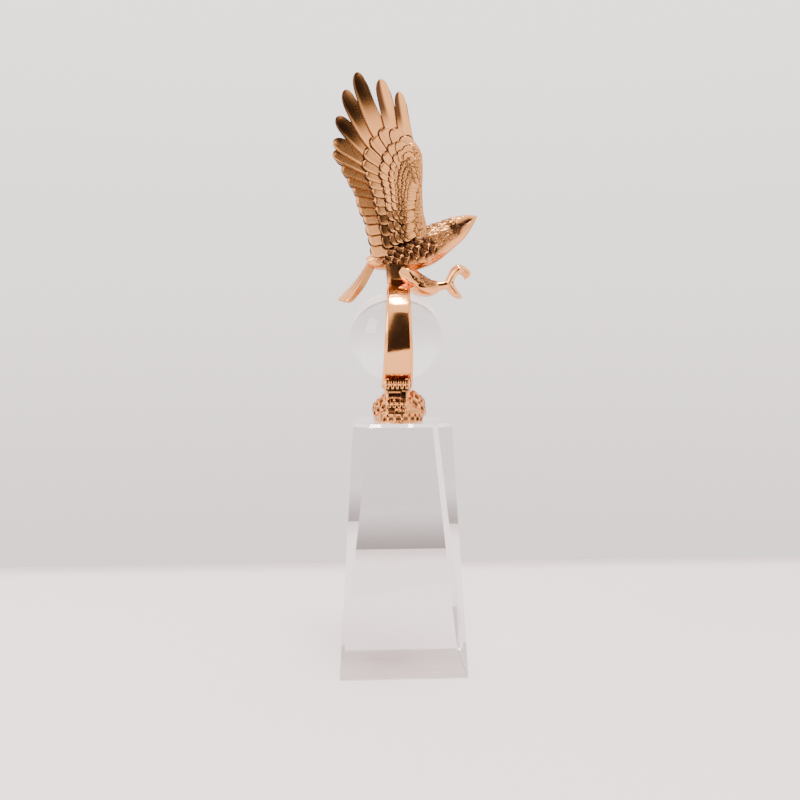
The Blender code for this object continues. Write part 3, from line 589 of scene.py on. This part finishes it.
def sphere_grid(theta, count):
    """Unit sphere as circles of count points, one at each angle theta from its top."""
    T, P = np.meshgrid(theta, full_turn(count), indexing="ij")
    return np.stack([np.sin(T) * np.cos(P), np.sin(T) * np.sin(P), np.cos(T)], axis=-1)


def eye(side):
    """Small round eye, one square in radius, set into the head under the brow."""
    around = sphere_grid(np.linspace(0.05, math.pi - 0.05, 14), 20)
    return tubes(to_world(around + np.array(EYE_PLACE) * [1, side, 1])[None], {})


# Mound

MOUND_HEIGHT = 0.0241
MOUND_WIDTH = 0.0335
MOUND_FRONT = 0.0280
MOUND_BACK = 0.0145
TOWER_WIDTH = 0.0134
TOWER_FRONT = 0.0248
TERRACE_WIDTH = 0.0125
TERRACE_FRONT = 0.0262
WALL_THICKNESS = 0.0014
WALL_HEIGHT = 0.0026
MERLON_HEIGHT = 0.0016
STOREY_CORNER = 0.0011
STOREY_DEPTH = 0.013
PARAPET_DEPTH = 0.012
TERRACE_MIDDLE, TOWER_MIDDLE = -1.3, -0.9


def mound_surface(turn, z):
    """Point of the rock at a turn from +X and a height over the plinth: a soft oval that narrows."""
    share = z / MOUND_HEIGHT
    foot = 0.955 + 0.030 * np.minimum(share / 0.2, 1.0)
    narrowing = 0.63 * (np.maximum(share - 0.25, 0.0) / 0.75) ** 1.3
    half = MOUND_WIDTH / 2 * (foot - narrowing)
    shift = MOUND_WIDTH * (0.030 + 0.030 * np.sin(math.pi * share)) + AXIS_X
    c, s = np.cos(turn), np.sin(turn)
    x = shift + np.sign(c) * np.abs(c) ** 0.85 * half
    depth = np.where(s > 0, MOUND_BACK * (1.0 - 0.34 * share), MOUND_FRONT * (1.0 - 0.21 * share))
    y = np.sign(s) * np.abs(s) ** 0.85 * depth
    return np.stack([x, y, MOUND_FLOOR + z + 0 * x], axis=-1)


def rock():
    """Rock: the mound's ovals stacked up, roughened by sums of sine waves."""
    share = np.linspace(0, 1, 90)
    Z, TURN = np.meshgrid(share * MOUND_HEIGHT, full_turn(200), indexing="ij")
    place = mound_surface(TURN, Z)
    uneven = rumple(place / MM, 9.0, 3) * 0.8 + np.abs(rumple(place / MM, 4.0, 8)) * 0.7 - 0.5
    away = np.stack([np.cos(TURN), np.sin(TURN), 0 * TURN], axis=-1)
    calm = (soft_step(0, 0.06, share) * soft_step(0, 0.05, 1 - share))[:, None]
    place = place + away * (uneven * calm * MM * 0.6)[..., None]
    # Painted shade in the rock's low spots
    return tubes(place[None], {"hollow": np.clip(-uneven * 0.9 * calm, 0, 1)[None]})


def rampart(path, away, low, height, thick, merlons, tall, windows=None, back=1.5):
    """Crenellated wall along a path, with windows sunk in its outer face and merlons on its top.

    path holds the points of the wall's line, three quarters of thick inside the outer face, away
    the outward directions, low and height the rise of the foot and of the walk over each point.
    The section goes up the outer face, over the top and down the inner face. windows is a function
    of (share, height share) that gives a depth.
    """
    n = len(path)
    share = np.concatenate([[0], np.cumsum(np.linalg.norm(np.diff(path, axis=0), axis=1))])
    share = share / share[-1]
    wave = np.abs(((share * merlons) % 1.0) - 0.5)
    tooth = soft_step(0.36, 0.24, wave)
    top = height + tall * tooth
    v = np.linspace(0, 1, 14)
    depth = windows(share[:, None], v[None, :]) if windows else np.zeros((n, 14))
    rim = 0.30 * thick * ridge(v, 0.60, 0.10)
    outer = thick * (0.75 - 0.75 * depth) + rim
    up = np.array([0, 0, 1.0])
    face = path[:, None] + away[:, None] * outer[..., None] + up * (v[None, :] * top[:, None])[..., None]
    over = np.linspace(0, 1, 5)[1:-1]
    cap = path[:, None] + away[:, None] * (thick * (0.75 - over * (0.75 + back)))[None, :, None]
    cap = cap + up * (top[:, None] + thick * 0.12 * np.sin(math.pi * over))[..., None]
    w = np.linspace(1, 0, 4)
    inner = path[:, None] - away[:, None] * thick * back + up * (w[None, :] * top[:, None])[..., None]
    rings = np.concatenate([face, cap, inner], axis=1) + up * low[:, None, None]
    # Painted shade in the sunk windows and on the wall between the merlons, toward its top
    gap = (1 - tooth)[:, None] * soft_step(0.6, 1.0, np.concatenate([v, np.ones(3), w]))[None, :]
    hollow = np.concatenate([depth * 0.9, np.zeros((n, 7))], axis=1)
    return tubes(rings[None], {"hollow": np.clip(hollow + gap * 0.5, 0, 1)[None]})


def along_rock(start, end, low_start, low_mid, low_end, merlons):
    """Wall on the rock between two turns in degrees, at heights in millimetres."""
    n = max(int(merlons * 16), 60)
    t = np.linspace(0, 1, n)
    turn = np.radians(start + (end - start) * t)
    low = low_start + (low_end - low_start) * t + (low_mid - (low_start + low_end) / 2) * 4 * t * (1 - t)
    path = mound_surface(turn, low * MM)
    away = unit(np.stack([path[:, 0] - AXIS_X, path[:, 1] * 0.7, 0 * t], axis=-1))

    def slits(share, v):
        return soft_step(0.36, 0.26, np.abs((share * merlons) % 1.0 - 0.5)) * ridge(v, 0.42, 0.34)

    sunk = WALL_HEIGHT * 0.35
    rise = np.maximum(-sunk, MOUND_FLOOR + 0.0001 - path[:, 2])
    height = np.full(n, WALL_HEIGHT + sunk)
    return rampart(path, away, rise, height, WALL_THICKNESS, merlons, MERLON_HEIGHT, slits)


def flat_fronted(middle, foot, top, width, front, depth, windows=None, merlons=0, tall=0.0,
                 thick=WALL_THICKNESS):
    """Wall round three sides of a rounded rectangle: straight sides joined by quarter circles."""
    radius = STOREY_CORNER
    corner = np.radians(np.linspace(0, 90, 9))
    x0, x1 = AXIS_X + middle * MM - width / 2, AXIS_X + middle * MM + width / 2
    y0 = -front
    left_side = np.stack([np.full(24, x0), np.linspace(y0 + depth, y0 + radius, 24)], axis=-1)
    left_turn = np.stack([x0 + radius * (1 - np.cos(corner)), y0 + radius * (1 - np.sin(corner))], axis=-1)
    run = np.stack([np.linspace(x0 + radius, x1 - radius, 120), np.full(120, y0)], axis=-1)
    right_turn, right_side = ((line * [-1, 1] + [x0 + x1, 0])[::-1] for line in (left_turn, left_side))
    flat = np.concatenate([left_side, left_turn[1:-1], run, right_turn[1:-1], right_side])
    path = np.concatenate([flat, np.full((len(flat), 1), MOUND_FLOOR + foot * MM)], axis=1)
    ahead = unit(np.gradient(flat, axis=0))
    away = np.stack([ahead[:, 1], -ahead[:, 0], 0 * ahead[:, 0]], axis=-1)
    path = path - away * thick * 0.75
    height = np.full(len(flat), (top - foot) * MM)
    return rampart(path, away, height * 0, height, thick, merlons, tall, windows, back=2.2)


def openings(holes, width, depth, low, high):
    """Window pattern of a flat front: boxes with soft edges, each by its sides and heights.

    total is about the length of the wall round its three sides.
    """
    total = width + 2 * depth - 0.0019

    def pattern(share, v):
        at = (share - 0.5) * total / MM
        up = low + v * (high - low)
        cut = 0.0
        for left, right, bottom, top in holes:
            side = soft_step(left - 0.15, left + 0.15, at) * soft_step(right + 0.15, right - 0.15, at)
            level = soft_step(bottom - 0.2, bottom + 0.2, up) * soft_step(top + 0.2, top - 0.2, up)
            cut = np.maximum(cut, side * level)
        return cut

    return pattern


def bead_gaps(count, level, spread):
    """Pattern of a row of beads: count hollows side by side, at a share of the height."""
    def pattern(share, v):
        return ridge(((share * count + 0.5) % 1.0) - 0.5, 0.0, 0.25) ** 2 * ridge(v, level, spread)

    return pattern


def castle():
    """Walls, terrace and gate tower of the mound, from the measured heights, and the tower's roof."""
    # Start and end turn, heights at the start, in the middle and at the end, merlons
    walls = (
        (232, 324, 0.9, 1.8, 0.9, 7), (255, 197, 13.0, 8.4, 3.6, 4), (236, 184, 17.0, 12.0, 6.0, 4),
        (290, 347, 13.4, 8.2, 4.0, 3), (306, 370, 16.6, 11.4, 6.4, 4),
    )
    gates = openings(((-5.4, -1.2, 7.4, 9.2), (1.2, 5.4, 7.4, 9.2)), TERRACE_WIDTH, STOREY_DEPTH, 6.0, 10.4)
    doors = openings(((-5.6, 2.2, 15.6, 18.9), (3.2, 5.8, 15.0, 19.5)), TOWER_WIDTH, STOREY_DEPTH, 9.0, 21.0)
    # Middle, foot, top, width, front, depth, pattern, merlons, their height, thickness
    storeys = (
        (TERRACE_MIDDLE, 6.0, 10.4, TERRACE_WIDTH, TERRACE_FRONT, STOREY_DEPTH, gates),
        (TERRACE_MIDDLE, 9.6, 12.6, TERRACE_WIDTH + 0.0012, TERRACE_FRONT + 0.0006, PARAPET_DEPTH,
         bead_gaps(11, 0.45, 0.22), 11, MERLON_HEIGHT),
        (TOWER_MIDDLE, 9.0, 21.0, TOWER_WIDTH, TOWER_FRONT, STOREY_DEPTH, doors),
        (TOWER_MIDDLE, 20.4, 25.2, TOWER_WIDTH + 0.0026, TOWER_FRONT + 0.0013, PARAPET_DEPTH,
         bead_gaps(12, 0.55, 0.20), 12, 0.0024),
        (TOWER_MIDDLE, 21.0, 25.0, TOWER_WIDTH - 0.0010, TOWER_FRONT - 0.0012, 0.010,
         None, 0, 0.0, 0.0016),
    )
    return [rock()] + [along_rock(*wall) for wall in walls] + [flat_fronted(*storey) for storey in storeys]


def arm():
    """Crescent: a slightly crowned face with a raised rim on each side, swept round the ball.

    The section goes across the inner face, up one side, over its rim, across the outer face and
    back down. Each row holds a place across the arm and a distance from the ball's middle.
    """
    turn = np.radians(np.linspace(ARM_START, ARM_END, 120))
    share = (1 - np.cos(turn)) / 2
    width = ARM_WIDTH_FOOT + (ARM_WIDTH_TOP - ARM_WIDTH_FOOT) * share
    middle = AXIS_X + ARM_SHIFT + ARM_LEAN * share ** 6
    out = np.stack([0 * turn, -np.sin(turn), -np.cos(turn)], axis=-1)
    half = width[:, None] / 2
    rim, corner = ARM_RIM, ARM_CORNER
    steps = np.linspace(0, 1, 7)
    over = [(rim * step, ARM_OUTER - rim * 0.75 * (1 - math.sin(step * math.pi / 2))) for step in steps]
    rows = [(-half + corner, ARM_INNER), (half - corner, ARM_INNER)]
    rows += [(half - corner * 0.3, ARM_INNER + corner * 0.3), (half, ARM_INNER + corner)]
    rows += [(half, ARM_OUTER - rim * 0.9)] + [(half - inset, r) for inset, r in over]
    for f in np.linspace(-1, 1, 15):
        rows.append(((half - rim * 1.12) * -f, ARM_OUTER - FACE_SUNK + FACE_CROWN * (1 - f * f)))
    rows += [(-half + inset, r) for inset, r in over[::-1]] + [(-half, ARM_OUTER - rim * 0.9)]
    rows += [(-half, ARM_INNER + corner), (-half + corner * 0.3, ARM_INNER + corner * 0.3)]
    x = middle[:, None] + np.concatenate([across for across, r in rows], axis=1)
    r = np.array([r for across, r in rows])
    rings = out[:, None] * r[None, :, None] + np.array([0, 0, BALL_Z])
    rings[..., 0] = x
    rings[..., 2] = np.minimum(rings[..., 2], STAND_HIGH[2])
    return tubes(rings[None], {})


def ball():
    """Sphere: circles stacked by latitude, its two end points set on the sphere."""
    around = sphere_grid(np.linspace(math.pi, 0, 66)[1:-1], 128)
    place = around * BALL_RADIUS + np.array([AXIS_X, 0.0, BALL_Z])
    points, faces, masks = tubes(place[None], {})
    points[-2], points[-1] = (AXIS_X, 0, BALL_Z - BALL_RADIUS), (AXIS_X, 0, BALL_Z + BALL_RADIUS)
    return points, faces, masks


# Materials

def node_group(name, inputs, outputs):
    """Empty shader node group with its sockets. An input without a value is a vector."""
    group = bpy.data.node_groups.new(name, "ShaderNodeTree")
    for label, value in inputs.items():
        if value is None:
            group.interface.new_socket(label, in_out="INPUT", socket_type="NodeSocketVector")
        else:
            made = group.interface.new_socket(label, in_out="INPUT", socket_type="NodeSocketFloat")
            made.default_value = value
    for label in outputs:
        group.interface.new_socket(label, in_out="OUTPUT", socket_type="NodeSocketFloat")
    return group, group.nodes.new("NodeGroupInput"), group.nodes.new("NodeGroupOutput")


def math_node(tree, operation, a, b=None, clamp=False):
    """Math node fed by sockets or numbers; gives its output socket."""
    node = tree.nodes.new("ShaderNodeMath")
    node.operation = operation
    node.use_clamp = clamp
    for socket, value in zip(node.inputs, (a, b)):
        if isinstance(value, (int, float)):
            socket.default_value = value
        elif value is not None:
            tree.links.new(value, socket)
    return node.outputs[0]


def noise(tree, vector, scale, detail=3.0, rough=0.55):
    """Noise texture on a vector; gives its height."""
    node = tree.nodes.new("ShaderNodeTexNoise")
    node.inputs["Scale"].default_value = scale
    node.inputs["Detail"].default_value = detail
    node.inputs["Roughness"].default_value = rough
    tree.links.new(vector, node.inputs["Vector"])
    return node.outputs["Fac"]


def blend_colour(tree, share, a, b):
    """Mix node for colours, fed by sockets or colours; gives its output socket."""
    node = tree.nodes.new("ShaderNodeMix")
    node.data_type = "RGBA"
    tree.links.new(share, node.inputs["Factor"])
    for socket, value in ((node.inputs[6], a), (node.inputs[7], b)):
        if isinstance(value, tuple):
            socket.default_value = (*value, 1.0)
        else:
            tree.links.new(value, socket)
    return node.outputs[2]


def plated_casting():
    """Polished plating on a casting: painted shade and painted reflection from a mask, faint clouding,
    fine polishing grain.

    Inputs are the place, the mask of painted shade, the strength of the clouding and the roughness
    of the clean metal; outputs are the share of painted shade and clouding, the roughness and the
    height of the surface.
    """
    group, given, result = node_group(
        "plated_casting", {"Place": None, "Painted Shade": 0.0, "Cloud": 1.0, "Polish": 0.1},
        ("Painted Shade and Haze", "Roughness", "Height"),
    )
    place = given.outputs["Place"]
    cloud = noise(group, place, 90.0, 4.0)
    grain = noise(group, place, 1400.0, 2.0, 0.6)
    speck = noise(group, place, 420.0, 5.0, 0.65)
    spotty = math_node(group, "ADD", 0.65, math_node(group, "MULTIPLY", speck, 0.7))
    # Painted shade from the mask, broken up by specks
    hollow = math_node(group, "MULTIPLY", given.outputs["Painted Shade"], spotty, clamp=True)
    patch = math_node(group, "SUBTRACT", cloud, 0.42)
    haze = math_node(group, "MULTIPLY", patch, given.outputs["Cloud"], clamp=True)
    painted_shade_and_haze = math_node(group, "ADD", hollow, math_node(group, "MULTIPLY", haze, 0.35), clamp=True)
    rough = math_node(group, "ADD", given.outputs["Polish"], math_node(group, "MULTIPLY", haze, 0.22))
    rough = math_node(group, "ADD", rough, math_node(group, "MULTIPLY", hollow, 0.22))
    rough = math_node(group, "ADD", rough, math_node(group, "MULTIPLY", grain, 0.05))
    fine, coarse = math_node(group, "MULTIPLY", grain, 0.35), math_node(group, "MULTIPLY", speck, 0.65)
    height = math_node(group, "ADD", fine, coarse)
    for name, value in (("Painted Shade and Haze", painted_shade_and_haze), ("Roughness", rough), ("Height", height)):
        group.links.new(value, result.inputs[name])
    return group


def feather_barbs():
    """Slanted barbs either side of a quill: a wave of the place along plus the distance across."""
    group, given, result = node_group(
        "feather_barbs", {"Along": 0.0, "Across": 0.0, "Count": 60.0}, ("Height",),
    )
    side = math_node(group, "ABSOLUTE", given.outputs["Across"])
    phase = math_node(group, "SUBTRACT", given.outputs["Along"], math_node(group, "MULTIPLY", side, 0.14))
    wave = math_node(group, "SINE", math_node(group, "MULTIPLY", phase, given.outputs["Count"]))
    group.links.new(math_node(group, "MULTIPLY", wave, 0.5), result.inputs["Height"])
    return group


PLATED, BARBS = plated_casting(), feather_barbs()
ROSE = (0.87, 0.39, 0.128)
# Near-black tone of the painted shade and painted reflection, which the clouding also leans toward
SHADE = (0.022, 0.009, 0.007)
CRYSTAL_IOR = 1.52


def mask_socket(tree, name):
    """A mask stored on the mesh."""
    node = tree.nodes.new("ShaderNodeAttribute")
    node.attribute_name = name
    return node.outputs["Fac"]


def new_material(name):
    """A material with nodes, with its node tree and its shader."""
    made = bpy.data.materials.new(name)
    made.use_nodes = True
    return made, made.node_tree, made.node_tree.nodes["Principled BSDF"]


def add_bump(tree, shader, height, strength, distance):
    """Bump node from a height to the shader's normal."""
    relief = tree.nodes.new("ShaderNodeBump")
    relief.inputs["Strength"].default_value = strength
    relief.inputs["Distance"].default_value = distance
    tree.links.new(height, relief.inputs["Height"])
    tree.links.new(relief.outputs["Normal"], shader.inputs["Normal"])


def rose_gold(name, polish, cloud, bump, barbs=False):
    """Rose gold plating with painted shade and painted reflection from the mesh's masks, and faint clouding;
    feathers get barbs and more painted reflection and shade on their tips and edges.
    """
    made, tree, shader = new_material(name)
    place = tree.nodes.new("ShaderNodeTexCoord").outputs["Object"]
    wear = tree.nodes.new("ShaderNodeGroup")
    wear.node_tree = PLATED
    wear.inputs["Cloud"].default_value = cloud
    wear.inputs["Polish"].default_value = polish
    tree.links.new(place, wear.inputs["Place"])
    tree.links.new(mask_socket(tree, "hollow"), wear.inputs["Painted Shade"])
    # Rose gold turned toward the near-black tone by painted shade and clouding
    tone = blend_colour(tree, wear.outputs["Painted Shade and Haze"], ROSE, SHADE)
    height = wear.outputs["Height"]
    if barbs:
        # Painted reflection and painted shade on the feathers' tips and edges
        tone = blend_colour(tree, math_node(tree, "MULTIPLY", mask_socket(tree, "dark"), 0.92), tone, SHADE)
        fringe = tree.nodes.new("ShaderNodeGroup")
        fringe.node_tree = BARBS
        fringe.inputs["Count"].default_value = 330.0
        tree.links.new(mask_socket(tree, "along"), fringe.inputs["Along"])
        tree.links.new(mask_socket(tree, "across"), fringe.inputs["Across"])
        height = math_node(tree, "ADD", height, math_node(tree, "MULTIPLY", fringe.outputs["Height"], 0.12))
    add_bump(tree, shader, height, bump, 0.00012)
    tree.links.new(tone, shader.inputs["Base Color"])
    tree.links.new(wear.outputs["Roughness"], shader.inputs["Roughness"])
    shader.inputs["Metallic"].default_value = 1.0
    return made


def crystal(name, tint):
    """Clear polished crystal with a trace of polishing haze and a very slight waviness.

    Shadow rays, and rays past their third bounce, go straight through.
    """
    made, tree, shader = new_material(name)
    place = tree.nodes.new("ShaderNodeTexCoord").outputs["Object"]
    haze = math_node(tree, "SUBTRACT", noise(tree, place, 60.0, 5.0), 0.52)
    haze = math_node(tree, "MULTIPLY", haze, 0.06, clamp=True)
    tree.links.new(haze, shader.inputs["Roughness"])
    add_bump(tree, shader, noise(tree, place, 25.0, 2.0), 0.02, 0.0002)
    clear = tree.nodes.new("ShaderNodeBsdfTransparent")
    clear.inputs["Color"].default_value = (0.93, 0.92, 0.915, 1.0)
    through = tree.nodes.new("ShaderNodeMixShader")
    path = tree.nodes.new("ShaderNodeLightPath")
    trapped = math_node(tree, "GREATER_THAN", path.outputs["Ray Depth"], 3.5)
    tree.links.new(math_node(tree, "MAXIMUM", path.outputs["Is Shadow Ray"], trapped), through.inputs[0])
    tree.links.new(shader.outputs[0], through.inputs[1])
    tree.links.new(clear.outputs[0], through.inputs[2])
    tree.links.new(through.outputs[0], tree.nodes["Material Output"].inputs["Surface"])
    shader.inputs["Base Color"].default_value = (*tint, 1.0)
    shader.inputs["Transmission Weight"].default_value = 1.0
    shader.inputs["IOR"].default_value = CRYSTAL_IOR
    shader.inputs["Metallic"].default_value = 0.0
    return made


WING_METAL = rose_gold("eagle_feather_plating", 0.17, 0.3, 0.07, barbs=True)
BODY_METAL = rose_gold("eagle_body_plating", 0.06, 0.3, 0.12)
STAND_METAL = rose_gold("stand_plating", 0.07, 0.4, 0.25)
PLINTH_CRYSTAL = crystal("plinth_crystal_polished", (0.87, 0.85, 0.845))
BALL_CRYSTAL = crystal("ball_crystal_polished", (0.945, 0.94, 0.925))

FIGURE = gather([body(), seat_block(), eye(-1), eye(1)] + leg(-1) + leg(1))
add_piece("wing_near", *wing(-1), WING_METAL, "eagle_rose_gold", "eagle")
add_piece("wing_far", *wing(1), WING_METAL, "eagle_rose_gold", "eagle")
add_piece("eagle_figure", *FIGURE, BODY_METAL, "eagle_rose_gold", "eagle")
add_piece("eagle_tail", *tail(), WING_METAL, "eagle_rose_gold", "eagle")
add_piece("mound_castle", *gather(castle()), STAND_METAL, "stand_rose_gold", "metal_stand", 50)
add_piece("crescent_arm", *arm(), STAND_METAL, "stand_rose_gold", "metal_stand")
add_piece("ball_clear", *ball(), BALL_CRYSTAL, "ball_crystal", "crystal_ball", 180)
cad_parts["crystal_plinth"].data.materials.clear()
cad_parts["crystal_plinth"].data.materials.append(PLINTH_CRYSTAL)


# Studio

def plain_paint(name, colour):
    """Matt paint for the studio's own surfaces."""
    made, tree, shader = new_material(name)
    shader.inputs["Base Color"].default_value = (*colour, 1.0)
    shader.inputs["Roughness"].default_value = 0.9
    shader.inputs["Specular IOR Level"].default_value = 0.2
    return made, tree, shader


def fade_along(tree, axis, start, end):
    """Smooth ramp from 0 to 1 between two places along an axis of the object's own coordinates."""
    split = tree.nodes.new("ShaderNodeSeparateXYZ")
    tree.links.new(tree.nodes.new("ShaderNodeTexCoord").outputs["Object"], split.inputs[0])
    ramp = tree.nodes.new("ShaderNodeMapRange")
    ramp.interpolation_type = "SMOOTHSTEP"
    ramp.inputs["From Min"].default_value = start
    ramp.inputs["From Max"].default_value = end
    tree.links.new(split.outputs[axis], ramp.inputs["Value"])
    return ramp.outputs[0]


def faded_paint(name, colour, target, fade, tones):
    """Matt paint with one colour socket that fades between two tones along an axis."""
    made, tree, shader = plain_paint(name, colour)
    tree.links.new(blend_colour(tree, fade_along(tree, *fade), *tones), shader.inputs[target])
    return made, shader


def stage_sheet(name, corners, material):
    """Flat stage card through its corners."""
    mesh = bpy.data.meshes.new(name)
    mesh.from_pydata(corners, [], [tuple(range(len(corners)))])
    mesh.materials.append(material)
    card = add_object(name, mesh)
    return card


# Pale floor with painted shade toward its back edge
TABLE_BACK = 0.276
FLOOR_PALE, FLOOR_PAINTED_SHADE = (0.84, 0.775, 0.765), (0.60, 0.52, 0.515)
FLOOR_PAINT, _ = faded_paint(
    "floor_paint", FLOOR_PALE, "Base Color", ("Y", TABLE_BACK - 0.045, TABLE_BACK), (FLOOR_PALE, FLOOR_PAINTED_SHADE))
stage_sheet("floor", [(-3, -3, 0), (3, -3, 0), (3, TABLE_BACK, 0), (-3, TABLE_BACK, 0)], FLOOR_PAINT)

# Dark card in front of the part, seen only in reflections
CARD_PAINT, _, _ = plain_paint("card_paint", (0.0058, 0.0055, 0.0115))
dark_card = stage_sheet("dark_card", [
    (-0.05, -0.34, 0.001), (0.17, -0.56, 0.001), (0.18, -0.72, 0.70),
    (0.28, -0.95, 1.45), (0.01, -0.95, 1.45), (-0.045, -0.90, 1.00),
], CARD_PAINT)
dark_card.visible_transmission = False

# Glowing strip behind the floor's edge, seen only through the crystal: its glow is painted light, darker
# toward its foot as painted shade
GLOWING_STRIP_HEIGHT = 0.040
GLOWING_STRIP_PLACE = TABLE_BACK + 0.001
GLOWING_STRIP_PAINT, glow = faded_paint(
    "glowing_shade_strip_paint", (0.0, 0.0, 0.0), "Emission Color", ("Z", 0.0, GLOWING_STRIP_HEIGHT),
    ((0.62, 0.52, 0.51), (1.60, 1.42, 1.40)))
glow.inputs["Emission Strength"].default_value = 1.0
glowing_shade_strip = stage_sheet("glowing_shade_strip", [
    (-3, GLOWING_STRIP_PLACE, 0), (3, GLOWING_STRIP_PLACE, 0),
    (3, GLOWING_STRIP_PLACE, GLOWING_STRIP_HEIGHT), (-3, GLOWING_STRIP_PLACE, GLOWING_STRIP_HEIGHT),
], GLOWING_STRIP_PAINT)
glowing_shade_strip.visible_glossy = False
for unseen in (dark_card, glowing_shade_strip):
    unseen.visible_camera = False
    unseen.visible_shadow = False
    unseen.visible_diffuse = False

CAMERA_DISTANCE = 0.620
CAMERA_HEIGHT = 0.2102
PITCH, YAW = math.radians(3.6), math.radians(3.5)
FOCAL_PIXELS, IMAGE_WIDTH = 957.0, 800
SENSOR_WIDTH = 36.0
lens = bpy.data.cameras.new("photo_view")
lens.sensor_width = SENSOR_WIDTH
lens.lens = FOCAL_PIXELS / IMAGE_WIDTH * SENSOR_WIDTH
lens.shift_x = -0.5 / IMAGE_WIDTH
lens.clip_start = 0.01
camera = add_object("photo_view", lens)
camera.location = (-CAMERA_DISTANCE * math.sin(YAW), -CAMERA_DISTANCE * math.cos(YAW), CAMERA_HEIGHT)
ahead = Vector((math.sin(YAW) * math.cos(PITCH), math.cos(YAW) * math.cos(PITCH), -math.sin(PITCH)))
camera.rotation_euler = ahead.to_track_quat("-Z", "Y").to_euler()
bpy.context.scene.camera = camera


LIGHT_AIM = (0, 0, 0.2)


def soft_light(name, place, wide, deep, power, colour):
    """Rectangular area light at a place, turned to face the part."""
    made = bpy.data.lights.new(name, "AREA")
    made.shape = "RECTANGLE"
    made.size, made.size_y = wide, deep
    made.energy = power
    made.color = colour
    lamp = add_object(name, made)
    lamp.location = place
    lamp.rotation_euler = (Vector(LIGHT_AIM) - Vector(place)).to_track_quat("-Z", "Y").to_euler()


soft_light("overhead", (0.05, -0.20, 1.5), 0.17, 0.36, 16.0, (1.0, 0.985, 0.96))
soft_light("left_window", (-1.5, -0.5, 0.9), 0.9, 0.9, 18.0, (1.0, 0.99, 0.98))

# Pale surroundings, brighter upward
world = bpy.data.worlds.new("studio")
world.use_nodes = True
sky = world.node_tree
backdrop = sky.nodes["Background"]
backdrop.inputs["Strength"].default_value = 1.0
height = sky.nodes.new("ShaderNodeSeparateXYZ")
sky.links.new(sky.nodes.new("ShaderNodeTexCoord").outputs["Generated"], height.inputs[0])
fade = sky.nodes.new("ShaderNodeMapRange")
fade.inputs["From Min"].default_value = -0.24
fade.inputs["From Max"].default_value = 0.30
sky.links.new(height.outputs["Z"], fade.inputs["Value"])
sky_tone = blend_colour(sky, fade.outputs[0], (1.58, 1.38, 1.36), (2.35, 2.13, 2.10))
sky.links.new(sky_tone, backdrop.inputs["Color"])
bpy.context.scene.world = world
